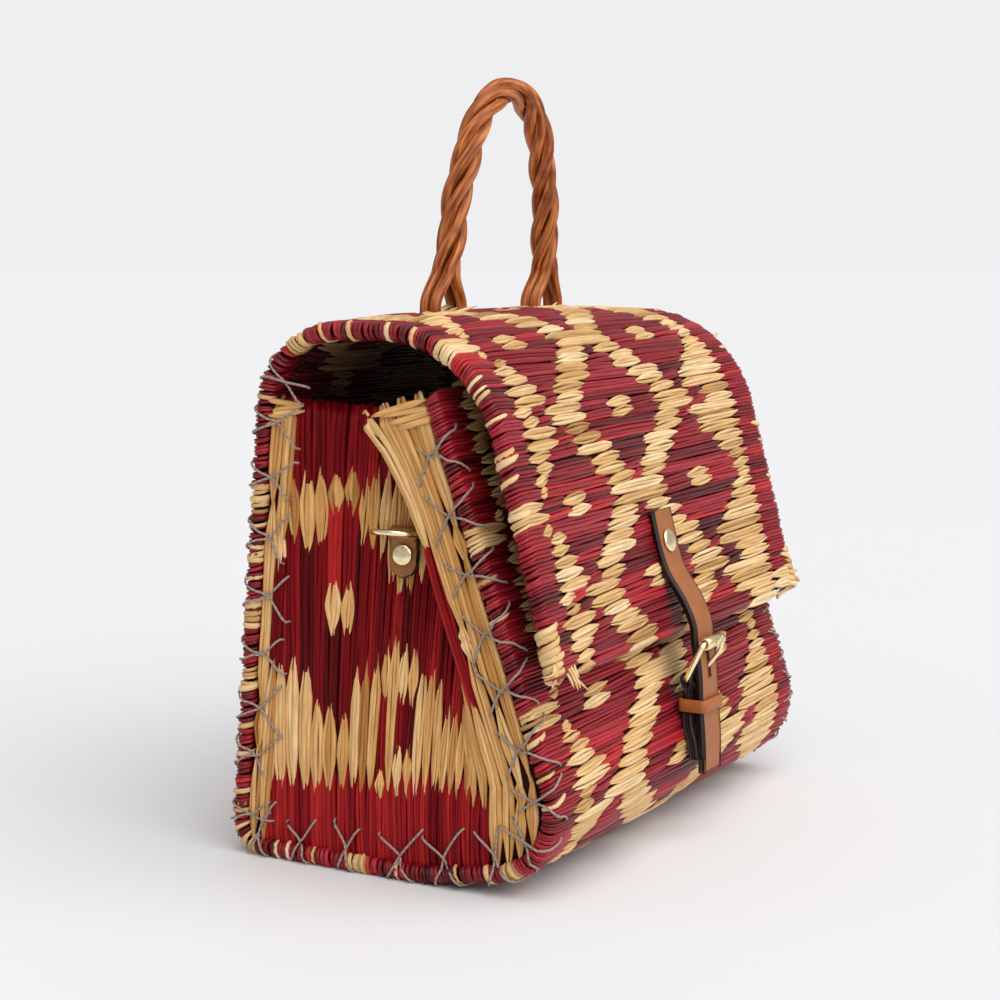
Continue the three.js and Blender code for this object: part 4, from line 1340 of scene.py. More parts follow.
@dataclass(frozen=True)
class Finishes:
    """Every finish of the satchel, built once."""

    reed: Finish
    upright: Finish
    lining: Finish
    core: Finish
    willow: Finish
    strap: Finish
    strap_edge: Finish
    chape: Finish
    keeper: Finish
    tab: Finish
    brass: Finish
    linen: Finish

    @classmethod
    def build(cls) -> "Finishes":
        """Makes all the materials."""
        return cls(
            reed=ReedFinish().material(),
            # A darker copy of the reed for the end panels: its darker ramps are painted shade.
            upright=ReedFinish(
                name="reed_upright_painted_shade",
                natural=(
                    (0.0, (0.44, 0.185, 0.045)), (0.3, (0.66, 0.345, 0.110)),
                    (0.65, (0.78, 0.46, 0.180)), (1.0, (0.86, 0.58, 0.28)),
                ),
                dyed=(
                    (0.0, (0.065, 0.002, 0.003)), (0.25, (0.13, 0.002, 0.004)),
                    (0.5, (0.20, 0.003, 0.006)), (0.78, (0.28, 0.008, 0.013)),
                    (1.0, (0.45, 0.018, 0.018)),
                ),
                specular=0.09,
            ).material(),
            # A darker copy of the reed for the mat's inner face: painted shade inside the bag.
            lining=ReedFinish(
                name="reed_inside_painted_shade",
                natural=((0.0, (0.17, 0.078, 0.030)), (1.0, (0.48, 0.28, 0.125))),
                dyed=((0.0, (0.040, 0.006, 0.008)), (1.0, (0.20, 0.018, 0.020))),
            ).material(),
            core=CoreShadeFinish().material(),
            willow=WillowFinish().material(),
            strap=LeatherFinish("strap_leather", (0.40, 0.135, 0.036), (0.25, 0.074, 0.017)).material(),
            # Nearly black for the leather's edges and backs: dyed edges, with painted shade on the sides and
            # undersides.
            strap_edge=LeatherFinish(
                "leather_edge_painted_shade", (0.035, 0.017, 0.010), (0.014, 0.007, 0.005)).material(),
            chape=LeatherFinish("chape_leather", (0.060, 0.028, 0.015), (0.022, 0.011, 0.007)).material(),
            keeper=LeatherFinish("keeper_leather", (0.44, 0.130, 0.022), (0.27, 0.070, 0.011)).material(),
            tab=LeatherFinish(
                "tab_leather", (0.36, 0.125, 0.024), (0.20, 0.064, 0.012), (0.24, 0.36)).material(),
            brass=BrassFinish().material(),
            linen=LinenFinish().material(),
        )


# The woven mat


@dataclass(frozen=True)
class StrandBatch:
    """Bundles of reed to be split into strands: where each starts, ends and lies, and its colour."""

    start: Array
    end: Array
    across: Array
    width: Array
    dye: Array
    # A shift of the strands' tones, used for painted light.
    lighter: Array | float = 0.0


@dataclass(frozen=True)
class StrandForm:
    """How one colour of float lies: natural ones end in points on top, red ones run on underneath.

    Width, gathering and lift are given at the tip, the shoulder, where it is full, and in the middle.
    """

    reach: float
    taper: float
    opening: tuple[float, float, float, float]
    gather: tuple[float, float, float, float]
    lift: tuple[float, float, float, float]

    def rings(self, key: str, mids: int) -> Array:
        """One of these for every ring of a strand with that many rings in its middle."""
        values = getattr(self, key)
        return np.array([*values[:3], *[values[3]] * mids, *values[2::-1]])


NATURAL_FORM = StrandForm(
    reach=4.4,
    taper=12.5,
    opening=(0.12, 0.56, 1.0, 1.05),
    gather=(0.05, 0.48, 0.97, 0.98),
    lift=(-0.5, 0.25, 0.50, 0.60),
)
RED_FORM = StrandForm(
    reach=6.4,
    taper=10.0,
    opening=(0.42, 0.84, 1.0, 1.05),
    gather=(0.34, 0.78, 0.96, 0.98),
    lift=(-2.2, -0.60, 0.0, 0.25),
)
PANEL_FORM = StrandForm(
    reach=5.0,
    taper=19.0,
    opening=(0.08, 0.46, 1.0, 1.02),
    gather=(0.02, 0.36, 0.96, 1.0),
    lift=(-0.4, 0.35, 0.50, 0.60),
)
PANEL_RED_FORM = StrandForm(
    reach=12.0,
    taper=9.0,
    opening=(0.60, 0.95, 1.0, 1.02),
    gather=(0.90, 1.0, 1.0, 1.0),
    lift=(-1.6, -1.0, -0.15, 0.10),
)


@dataclass(frozen=True)
class FloatWeave:
    """How floats are made: bundles of a few strands, pointed or running under at both ends."""

    strands: int = 3
    thickness: float = 2.2
    spare: float = 1.16
    crown: float = 0.9
    slant: float = -0.9
    sides: int = 6
    natural: StrandForm = NATURAL_FORM
    red: StrandForm = RED_FORM

    def split(self, width: Array, rng: Rng) -> tuple[Array, Array]:
        """Splits bundles into strands of unlike width.

        Args:
            width: The bundles' widths.
            rng: Seeded randomness.

        Returns:
            Each strand's width, and how far its middle lies from the bundle's.
        """
        shares = rng.uniform(0.7, 1.3, (len(width), self.strands))
        shares /= shares.sum(1, keepdims=True)
        middles = np.cumsum(shares, 1) - shares / 2 - 0.5
        return (shares * width[:, None] * self.spare).ravel(), (middles * width[:, None]).ravel()

    def tones(self, count: int, rng: Rng) -> Array:
        """Tones of the strands of a number of bundles, from dark (0) to light (1)."""
        bundle = np.repeat(rng.normal(0.5, 0.18, count), self.strands)
        return np.clip(bundle + rng.normal(0.0, 0.18, len(bundle)), 0.0, 1.0)

    def round_out(self, name: str, rail: "StrandRail", surface: Surface, rng: Rng,
                  material: Finish) -> Piece:
        """Gives strands their round sections and joins them.

        Args:
            name: The object's name.
            rail: The strands' middle lines, widths and colours.
            surface: What they lie on.
            rng: Seeded randomness.
            material: The finish.

        Returns:
            The joined object.
        """
        template = TubeTemplate(rail.along.shape[1], self.sides)
        angles = template.angles[None, None, :]
        across = rail.across[..., None] + rail.half[..., None] * np.cos(angles)
        height = (rail.lift - self.thickness / 2)[..., None] + (rail.thick / 2)[..., None] * np.sin(angles)
        points = surface.place(np.broadcast_to(rail.along[..., None], across.shape), across, height)
        far = rng.uniform(0.0, 500.0, (len(across), 1, 1))
        fibre = np.stack(np.broadcast_arrays(
            rail.along[..., None] + far, rail.half.max(1)[:, None, None] * np.cos(angles),
            np.sin(angles) + far / 9), axis=-1)
        return template.joined(name, points, {"dye": rail.dye, "tone": rail.tone, "fibre": fibre}, material)

    def lay(self, name: str, batch: StrandBatch, surface: Surface, rng: Rng,
            material: Finish, mids: int = 1, raised: float = 0.0, lighter: float = 0.0,
            ) -> Piece:
        """Lays a batch of bundles on a surface.

        Args:
            name: The object's name.
            batch: The bundles.
            surface: What they lie on.
            rng: Seeded randomness.
            material: The finish.
            mids: How many rings each strand has between its two ends.
            raised: How far all strands are raised.
            lighter: How far their tones are shifted: painted light when above 0, painted shade when below.

        Returns:
            The joined object.
        """
        count, per = len(batch.start), self.strands
        width, offset = self.split(batch.width, rng)
        dye = np.repeat(batch.dye, per)
        red = dye[:, None] > 0.5
        jitter = rng.normal(0.0, 0.8, (2, count * per))
        reach = np.where(red[:, 0], self.red.reach, self.natural.reach)
        start = np.repeat(batch.start, per) - reach + jitter[0]
        end = np.repeat(batch.end, per) + reach + jitter[1]
        long = np.maximum(end - start, 4.0)
        taper = np.minimum(np.where(red[:, 0], self.red.taper, self.natural.taper), 0.44 * long)
        near = np.array([0.0, 0.38, 1.0])[None, :] * taper[:, None]
        inner = np.linspace(0.0, 1.0, mids + 2)[None, 1:-1]
        middle = (start + taper)[:, None] + (long - 2 * taper)[:, None] * inner
        far = (start + long)[:, None] - near[:, ::-1]
        along = np.concatenate([start[:, None] + near, middle, far], axis=1)
        opening, gather, lift = (
            np.where(red, self.red.rings(key, mids), self.natural.rings(key, mids))
            for key in ("opening", "gather", "lift"))
        side = offset / (np.repeat(batch.width, per) / 2)
        lift = lift + raised + self.crown * (1.0 - side**2)[:, None] * gather - 0.5 * self.crown
        lift = lift + rng.normal(0.0, 0.2, (len(long), 1))
        run, phase = rng.uniform(9.0, 17.0, (len(long), 1)), rng.uniform(0, 6.3, (len(long), 1))
        wave = 0.3 * np.sin(along / run + phase)
        lean = rng.normal(self.slant, 0.25, (len(long), 1)) * np.linspace(-1.0, 1.0, along.shape[1])[None, :]
        rail = StrandRail(
            along=along,
            across=np.repeat(batch.across, per)[:, None] + offset[:, None] * gather + wave + lean,
            lift=lift,
            half=width[:, None] * opening / 2,
            thick=self.thickness * rng.uniform(0.85, 1.1, (len(long), 1)) * (0.4 + 0.6 * opening),
            dye=dye,
            tone=np.clip(
                self.tones(count, rng) + lighter + np.repeat(np.full(count, batch.lighter), per), 0.0, 1.0),
        )
        return self.round_out(name, rail, surface, rng, material)


@dataclass(frozen=True)
class StrandRail:
    """Strands before they are rounded out: lines by strand and ring, colours by strand."""

    along: Array
    across: Array
    lift: Array
    half: Array
    thick: Array
    dye: Array
    tone: Array


@dataclass
class WovenMat:
    """The long mat: rows of floats on both faces, wrapped ends and a core between, darkened as painted
    shade.
    """

    mat: MatShape
    weave: FloatWeave
    finishes: Finishes
    rear_pitch: float = 5.19
    front_pitch: float = 5.055
    core_skin: float = 1.9
    wraps: int = 46
    corner_wraps: int = 7
    corner_span: Point = (19.0, 0.5)
    corner_width: float = 3.3
    wrap_width: Point = (1.6, 3.2)
    wrap_start: Point = (-7.5, -1.0)
    wrap_past: Point = (2.0, 9.0)
    natural_corner: float = 9.0
    diamond_middle: float = 0.465
    diamond_reach: float = 0.18
    stagger: float = 1.6
    rim_stagger: float = 1.3
    lip_spread: float = 1.05
    base_sink: float = 1.1
    lining_back: float = 60.0
    lining_front: float = 90.0

    def rows(self) -> list[tuple[str, int, float, float]]:
        """All the rows, as the name of their piece, number in the pattern, place and height."""
        tip, heel = self.mat.marks["tip"], self.mat.marks["heel"]
        found = []
        for number in range(round((tip - heel) / self.rear_pitch)):
            s = tip - (number + 0.5) * self.rear_pitch
            piece = "flap" if s > self.mat.marks["flap"] else "top" if s > self.mat.marks["top"] else "back"
            found.append((piece, number, s, self.rear_pitch))
        for number in range(math.ceil(heel / self.front_pitch)):
            s = (number + 0.5) * self.front_pitch
            piece = "front" if s < self.mat.marks["climb"] else "base"
            found.append((piece, number, s, self.front_pitch))
        lip = math.pi * self.mat.skin
        found.append(("flap", 0, tip + 0.5 * lip, self.lip_spread * lip))
        found.append(("front", 0, -0.5 * lip, self.lip_spread * lip))
        return found

    def floats(self, piece: str, rng: Rng) -> StrandBatch:
        """The floats of one piece's rows, without the two wrapped ends.

        Args:
            piece: The piece's name.
            rng: Seeded randomness.

        Returns:
            The floats.
        """
        found = []
        for name, number, s, pitch in self.rows():
            if name != piece:
                continue
            places = self._places(number, rng)
            dyes = [dye for _, dye in row_chart(number)]
            for start_x, end_x, dye in zip(places[1:-2], places[2:-1], dyes[1:-1]):
                found.append((start_x, end_x, s + rng.normal(0.0, 0.25), pitch, dye.value))
        return StrandBatch(*np.array(found).T)

    def _places(self, number: int, rng: Rng) -> Array:
        """Where the floats of a row meet, from the left end to the right.

        Args:
            number: The row's number in the pattern.
            rng: Seeded randomness.

        Returns:
            The places in x, the ends of the mat included.
        """
        turn = number % len(ROW_CYCLE)
        chart = ROW_CHART[ROW_CYCLE[turn]]
        shares = np.array([0.0, *(stop for stop, _ in chart)])
        for index, (_, dye) in enumerate(chart):
            if dye is R and 0 < index < len(chart) - 1:
                off = (shares[index] + shares[index + 1]) / 2 - self.diamond_middle
                grow = ROW_GROWTH[turn][0 if abs(off) < self.diamond_reach else 1]
                shares[index:index + 2] += (-grow, grow)
        places = (shares - 0.5) * self.mat.length
        places[1:-1] += rng.normal(0.0, 0.7, len(places) - 2)
        places[1:-2] += self.stagger * (-1) ** number
        return places

    def lining(self, rng: Rng) -> StrandBatch:
        """The inner face's floats, where an open end shows them: the colours change places with the outside.

        Args:
            rng: Seeded randomness.

        Returns:
            The floats.
        """
        found = []
        marks = self.mat.marks
        for _, number, s, pitch in self.rows():
            seen = s > marks["back"] + self.lining_back or 0 < s < self.lining_front
            if not seen or s > marks["tip"]:
                continue
            chart = row_chart(number)
            begin = 0.0
            for index, (stop, dye) in enumerate(chart):
                if 0 < index < len(chart) - 1:
                    start_x, end_x = ((share - 0.5) * self.mat.length for share in (begin, stop))
                    found.append((start_x, end_x, s + rng.normal(0.0, 0.25), pitch, 1.0 - dye.value))
                begin = stop
        return StrandBatch(*np.array(found).T)

    def rim(self, end: End, rng: Rng) -> Piece:
        """The wrapped end of the mat, where each row's outer floats turn round to the inside.

        Args:
            end: Which end.
            rng: Seeded randomness.

        Returns:
            The joined object.
        """
        weave, per = self.weave, self.weave.strands
        bend = math.pi * self.mat.skin
        rows = []
        for _, number, s, pitch in self.rows():
            if not -0.1 < s < self.mat.marks["tip"] + 0.1:
                continue
            chart = row_chart(number)
            share, dye = chart[0] if end is End.LEFT else (1.0 - chart[-2][0], chart[-1][1])
            if end is End.RIGHT and s > self.mat.marks["tip"] - self.natural_corner:
                dye = N
            stagger = self.rim_stagger * (-1) ** number if end is End.LEFT else 0.0
            rows.append((share * self.mat.length + stagger, s, pitch, dye.value))
        out, s, pitch, dye = np.array(rows).T
        total = len(rows) * per
        width, offset = weave.split(pitch, rng)
        dye = np.repeat(dye, per)
        out = np.repeat(out, per) + rng.normal(0.0, 0.8, total) - self.mat.skin
        inner = rng.uniform(8.0, 15.0, total)[:, None]
        turn = np.broadcast_to(np.linspace(0.0, bend, 6), (total, 6))
        red = dye[:, None] > 0.5
        reach = np.where(red, weave.red.reach, weave.natural.reach)
        point = -out[:, None] - reach
        along = np.concatenate(
            [point, point + 4.0, -0.55 * out[:, None], turn, bend + 0.5 * inner, bend + inner], axis=1)
        tail = (1.0, 0.97, 0.92, 0.90, 0.92, 0.97, 1.0, 0.9, 0.2)
        opening, gather = (
            np.where(red, *(np.array(getattr(form, key)[:2] + tail) for form in (weave.red, weave.natural)))
            for key in ("opening", "gather"))
        rise = rng.normal(0.15, 0.3, (total, 1)) * np.ones((1, 7))
        first = np.where(red, np.array(weave.red.lift[:2]), np.array(weave.natural.lift[:2]))
        last = np.broadcast_to(np.array([-0.3, -1.8]), (total, 2))
        slant = rng.normal(2.4, 1.0, (total, 1)) * np.clip(along / bend, 0.0, 1.3)
        rail = StrandRail(
            along=along,
            across=np.repeat(s, per)[:, None] + offset[:, None] * gather + slant,
            lift=np.concatenate([first, rise, last], axis=1),
            half=width[:, None] * opening / 2 * rng.uniform(0.92, 1.12, (total, 1)),
            thick=weave.thickness * rng.uniform(0.8, 1.15, (total, 1)) * np.ones_like(along),
            dye=dye,
            tone=weave.tones(len(rows), rng),
        )
        return weave.round_out(f"mat_rim_{end.word}", rail, MatRim(self.mat, end), rng, self.finishes.reed)

    def short_wraps(self, end: End, rng: Rng) -> Piece:
        """Short natural reeds bound round the mat's end here and there.

        Args:
            end: Which end.
            rng: Seeded randomness.

        Returns:
            The joined object.
        """
        weave, bend = self.weave, math.pi * self.mat.skin
        corner = self.mat.marks["tip"] - np.linspace(*self.corner_span, self.corner_wraps)
        s = np.r_[np.sort(rng.uniform(6.0, corner[0] - 3.0, self.wraps)), corner]
        shape = np.array([0.25, 0.8, 1.0, 1.0, 1.0, 1.0, 1.0, 0.8, 0.25])
        count, rings = len(s), len(shape)
        bound = (np.arange(count) >= self.wraps)[:, None]
        start = rng.uniform(*self.wrap_start, (count, 1))
        stop = bend + rng.uniform(*self.wrap_past, (count, 1))
        along = start + (stop - start) * np.linspace(0.0, 1.0, rings)[None, :]
        width = np.where(bound, self.corner_width, rng.uniform(*self.wrap_width, (count, 1)))
        slant = rng.normal(2.6, 1.0, (count, 1)) * along / bend
        rail = StrandRail(
            along=along,
            across=s[:, None] + slant,
            lift=rng.normal(1.15, 0.2, (count, 1)) + 0.5 * bound - 2.4 * (1.0 - shape)[None, :],
            half=width * shape / 2,
            thick=rng.uniform(1.0, 1.7, (count, 1)) * np.ones((1, rings)),
            dye=np.zeros(count),
            tone=rng.uniform(0.15, 0.95, count),
        )
        return weave.round_out(f"mat_wraps_{end.word}", rail, MatRim(self.mat, end), rng, self.finishes.reed)

    def core(self) -> Piece:
        """The core that fills the mat between its two faces of reed, nearly black as painted shade in the
        gaps.
        """
        mat = self.mat
        s = even_steps(mat.table["s"][:, None], 180)[:, 0]
        xs = np.linspace(-mat.half + mat.skin, mat.half - mat.skin, 15)
        section = [(side, place) for side, order in ((1.0, s), (-1.0, s[::-1])) for place in order]
        bm = bmesh.new()
        number = bm.verts.layers.int.new("number")
        ring = [bm.verts.new(self._core_point(xs[0], place, side)) for side, place in section]
        edges = [bm.edges.new((vert, ring[(k + 1) % len(ring)])) for k, vert in enumerate(ring)]
        first = list(edges)
        for k, vert in enumerate(ring):
            vert[number] = k
        for x in xs[1:]:
            made = bmesh.ops.extrude_edge_only(bm, edges=edges)["geom"]
            edges = [item for item in made if isinstance(item, bmesh.types.BMEdge)]
            for vert in made:
                if isinstance(vert, bmesh.types.BMVert):
                    side, place = section[vert[number]]
                    vert.co = self._core_point(x, place, side)
        bmesh.ops.triangle_fill(bm, edges=first, use_beauty=True)
        bmesh.ops.triangle_fill(bm, edges=edges, use_beauty=True)
        bmesh.ops.recalc_face_normals(bm, faces=bm.faces)
        return from_bmesh("mat_core", bm, self.finishes.core)

    def _core_point(self, x: float, s: float, side: float) -> Vector:
        """A point of the core's skin."""
        depth = np.array(self.core_skin - self.mat.skin)
        return Vector(self.mat.face(np.array(x), np.array(s), depth, side))

    def build(self) -> list[Piece]:
        """Builds and dresses the whole mat.

        Returns:
            Its pieces.
        """
        outer, inner = MatFace(self.mat, 1.0), MatFace(self.mat, -1.0)
        core = self.core()
        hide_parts("reed_wrap")
        pieces = [core]
        for number, name in enumerate(("flap", "top", "back", "base", "front")):
            rng = np.random.default_rng(SEED + number)
            sunk = -self.base_sink if name == "base" else 0.0
            floats = self.floats(name, rng)
            pieces.append(self.weave.lay(f"mat_{name}", floats, outer, rng, self.finishes.reed, raised=sunk))
        rng = np.random.default_rng(SEED + 10)
        # The inner face's floats take the darker reed, as painted shade.
        pieces.append(self.weave.lay("mat_lining", self.lining(rng), inner, rng, self.finishes.lining))
        for end in End:
            pieces.append(self.rim(end, np.random.default_rng(SEED + 20 + end.value)))
            pieces.append(self.short_wraps(end, np.random.default_rng(SEED + 30 + end.value)))
        return [dressed(piece) for piece in pieces]


@dataclass
class EndPanels:
    """The two folded end panels with upright reeds."""

    panel: PanelShape
    weave: FloatWeave
    border_weave: FloatWeave
    finishes: Finishes
    border_pitch: float = 5.4
    border_columns: int = 2
    strip_columns: int = 4
    tuck: float = 1.5
    over: float = 8.0
    red_foot_top: float = 34.5
    red_foot_rise: float = 0.07
    # How much lighter the floats near the red foot band are: painted light on the foot band.
    foot_painted_light: float = 0.24
    red_band_foot: float = 180.0
    core_depth: float = 2.0
    border_red: Point = (92.0, 143.0)
    strip_red: Point = (84.0, 148.0)
    border_cuts: Point = (42.0, 188.0)
    fold_cuts: tuple[float, ...] = (88.0, 146.0, 172.0)
    fold_top_cut: float = 205.0
    fold_room: float = 1.5
    fold_hides: float = 0.35
    fold_shortest: float = 8.0
    shortest: float = 6.0
    foot_slack: float = 12.0
    foot_level_y: float = 57.5
    back_bindings: int = 5
    front_bindings: int = 4
    binding_long: Point = (14.0, 25.0)
    binding_z: Point = (202.0, 203.0)
    binding_step: float = 2.2
    binding_thickness: float = 1.6

    def columns(self, rng: Rng) -> StrandBatch:
        """The floats of the main face, each column ending where it goes behind the front border.

        Args:
            rng: Seeded randomness.

        Returns:
            The floats, from foot to top.
        """
        found: list[tuple[float, ...]] = []
        places = np.array([column.y for column in PANEL_CHART])
        widths = -np.gradient(places)
        further = self.weave.red.reach - self.weave.natural.reach
        for column, width in zip(PANEL_CHART, widths):
            foot = float(self.panel.foot(np.array(column.y))) - self.tuck
            top = self._top(column.y)
            for low, high, dye in self._spans(column, foot + further, rng):
                stop = min(high, top - further if dye is R else top)
                # Painted light: floats near the red foot band get lighter tones.
                lighter = self.foot_painted_light if high < self.red_foot_top + self.foot_slack else 0.0
                if low < stop - self.shortest:
                    found.append((low, stop, -column.y, width, dye.value, lighter))
        return StrandBatch(*np.array(found).T)

    def edge(self, layer: Layer, rng: Rng) -> StrandBatch:
        """The long natural floats of a border, with a red one in its inmost column.

        Args:
            layer: The back border or the front one.
            rng: Seeded randomness.

        Returns:
            The floats, from foot to top.
        """
        panel, back = self.panel, layer is Layer.BACK
        count, red = (self.border_columns, self.border_red) if back else (self.strip_columns, self.strip_red)
        pitch = self.border_pitch if back else panel.strip_width / count
        front = float(panel.front_y(np.array(0.0)))
        found = []
        for column in range(count):
            across = (column + 0.5) * pitch
            foot = panel.foot_z if back else float(panel.foot(np.array(front + across)))
            inmost = column == count - 1
            inner = red if inmost else np.sort(rng.uniform(*self.border_cuts, 3))
            cuts = np.r_[foot - self.tuck, inner, panel.top_z + self.over]
            dyes = (N, R, N) if inmost else (N, N, N, N)
            found += [(low, high, across, pitch, dye.value)
                      for low, high, dye in zip(cuts[:-1], cuts[1:], dyes)]
        return StrandBatch(*np.array(found).T)

    def fold(self, rng: Rng) -> StrandBatch:
        """The floats of the fold's return, which shows above the tab.

        Args:
            rng: Seeded randomness.

        Returns:
            The floats, from where the fold is wide enough to the top.
        """
        found = []
        z = np.linspace(self.panel.fold_start_z, self.panel.top_z, 160)
        wide = self.panel.legs(z)[1]
        for across in np.arange(0.5, wide.max(), self.border_pitch) + self.border_pitch / 2:
            room = wide > across + self.fold_room
            if room.any():
                low = float(z[np.argmax(room)])
                cuts = [max(low, min(cut + rng.normal(0.0, 3.0), self.fold_top_cut))
                        for cut in (low, *self.fold_cuts)]
                ends = [*cuts[1:], self.panel.top_z + self.over]
                for start, stop, dye in zip(cuts, ends, (N, R, N, R)):
                    if stop > start + self.fold_shortest:
                        found.append((start, stop, across, self.border_pitch, dye.value))
        return StrandBatch(*np.array(found).T)

    def bindings(self, end: End, rng: Rng) -> Piece:
        """Short natural reeds bound across the tops of both borders.

        Args:
            end: Which end.
            rng: Seeded randomness.

        Returns:
            The joined object.
        """
        shape = np.array([0.3, 0.8, 1.0, 1.0, 1.0, 1.0, 0.8, 0.3])
        per, rings = self.back_bindings, len(shape)
        count = per + self.front_bindings
        near = np.arange(count) < per
        girth = float(self.panel.girth(np.array(self.panel.top_z)))
        start = np.where(near, -1.5, girth - self.panel.strip_width - 1.0)[:, None]
        start = start + rng.normal(0, 1.2, (count, 1))
        long = np.where(near, *self.binding_long)[:, None] + rng.normal(0.0, 1.5, (count, 1))
        step = self.binding_step * (np.arange(count) % per)[:, None]
        z = np.where(near, *self.binding_z)[:, None] + step
        rail = StrandRail(
            along=start + long * np.linspace(0.0, 1.0, rings)[None, :],
            across=z + rng.normal(0.0, 1.1, (count, 1)) * np.linspace(-1.0, 1.0, rings)[None, :],
            lift=2.3 - 2.6 * (1.0 - shape)[None, :] + rng.normal(0.0, 0.2, (count, 1)),
            half=rng.uniform(0.9, 1.4, (count, 1)) * shape,
            thick=np.full((count, rings), self.binding_thickness),
            dye=np.zeros(count),
            tone=rng.uniform(0.2, 0.9, count),
        )
        face = PanelLayer(self.panel, Layer.BACK, end, crosswise=True)
        return self.weave.round_out(f"panel_bindings_{end.word}", rail, face, rng, self.finishes.upright)

    def _top(self, y: float) -> float:
        """Where a column goes behind a border, or over the panel's top."""
        z = np.linspace(self.panel.fold_start_z, self.panel.top_z, 160)
        legs = self.panel.legs(z)
        distance = PanelLayer(self.panel, Layer.MAIN).distance(z, np.array(-y))
        hidden = (distance > legs[0] + self.fold_hides * legs[1]) | (distance < self.border_pitch)
        return float(z[np.argmax(hidden)]) if hidden.any() else self.panel.top_z + self.over

    def _spans(self, column: PanelColumn, foot: float, rng: Rng,
               ) -> list[tuple[float, float, Dye]]:
        """One column's floats as (low, high, colour).

        Args:
            column: The column of the chart.
            foot: Where it stands.
            rng: Seeded randomness.

        Returns:
            Its floats from foot to top.
        """
        rise = self.red_foot_rise * (self.foot_level_y - column.y)
        red_top = self.red_foot_top + rise + rng.normal(0.0, 1.4)
        band = self.red_band_foot + rng.normal(0.0, 2.0)
        spans = [(foot, red_top, R)]
        if column.dash:
            low, high = column.dash
            spans += [(red_top, low, N), (low, high, R), (high, column.lower, N)]
        else:
            spans += [(red_top, column.lower, N)]
        if column.eye:
            low, high = column.eye
            spans += [(column.lower, low, R), (low, high, N), (high, column.upper, R)]
        elif column.upper - column.lower > self.shortest:
            spans += [(column.lower, column.upper, R)]
        spans += [(column.upper, band, N), (band, self.panel.top_z + self.over, R)]
        return spans

    def core(self, end: End) -> Piece:
        """The thin plate behind the reeds, nearly black as painted shade in the gaps between them.

        Args:
            end: Which end.

        Returns:
            The object.
        """
        bm = bmesh.new()
        bmesh.ops.create_grid(bm, x_segments=44, y_segments=60, size=1.0)
        raised = bmesh.ops.extrude_face_region(bm, geom=list(bm.faces), use_keep_orig=True)["geom"]
        lifted = [item for item in raised if isinstance(item, bmesh.types.BMVert)]
        bmesh.ops.translate(bm, vec=(0, 0, 1), verts=lifted)
        places = np.array([vert.co for vert in bm.verts])
        level = np.array([self.panel.fold_start_z])
        share = (places[:, 0] + 1) / 2
        foot = self.panel.foot(self.panel.back_y(level) - share * self.panel.girth(level)) + 0.4
        z = foot + (places[:, 1] + 1) / 2 * (self.panel.top_z - 1.0 - foot)
        depth = -self.core_depth - places[:, 2] * (self.panel.thickness - 2 * self.core_depth)
        for vert, place in zip(bm.verts, self.panel.face(z, share * self.panel.girth(z), depth)):
            vert.co = Vector(place)
        bmesh.ops.recalc_face_normals(bm, faces=bm.faces)
        return from_bmesh(f"panel_core_{end.word}", mirrored(bm, end), self.finishes.core)

    def build(self) -> list[Piece]:
        """Builds and dresses both panels.

        Returns:
            Their pieces.
        """
        pieces = []
        for end in End:
            core = self.core(end)
            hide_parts(f"end_panel_{end.word}")
            pieces.append(core)
            # Each layer's last number shifts its tones as painted light and shade: lighter on the front
            # border, darker on the fold's return.
            layers = (
                (Layer.MAIN, self.weave, self.columns, 3, 0.0, 0.05),
                (Layer.RETURN, self.border_weave, self.fold, 3, 0.0, -0.05),
                (Layer.BACK, self.border_weave, partial(self.edge, Layer.BACK), 4, 0.7, 0.05),
                (Layer.BORDER, self.border_weave, partial(self.edge, Layer.BORDER), 5, 0.2, 0.10),
            )
            for number, (layer, weave, floats, mids, raised, lighter) in enumerate(layers):
                rng = np.random.default_rng(SEED + 40 + number)
                face = PanelLayer(self.panel, layer, end)
                pieces.append(weave.lay(f"panel_{layer.value}_{end.word}", floats(rng), face, rng,
                                        self.finishes.upright, mids, raised, lighter))
            pieces.append(self.bindings(end, np.random.default_rng(SEED + 50)))
        return [dressed(piece) for piece in pieces]


# Linen stitches


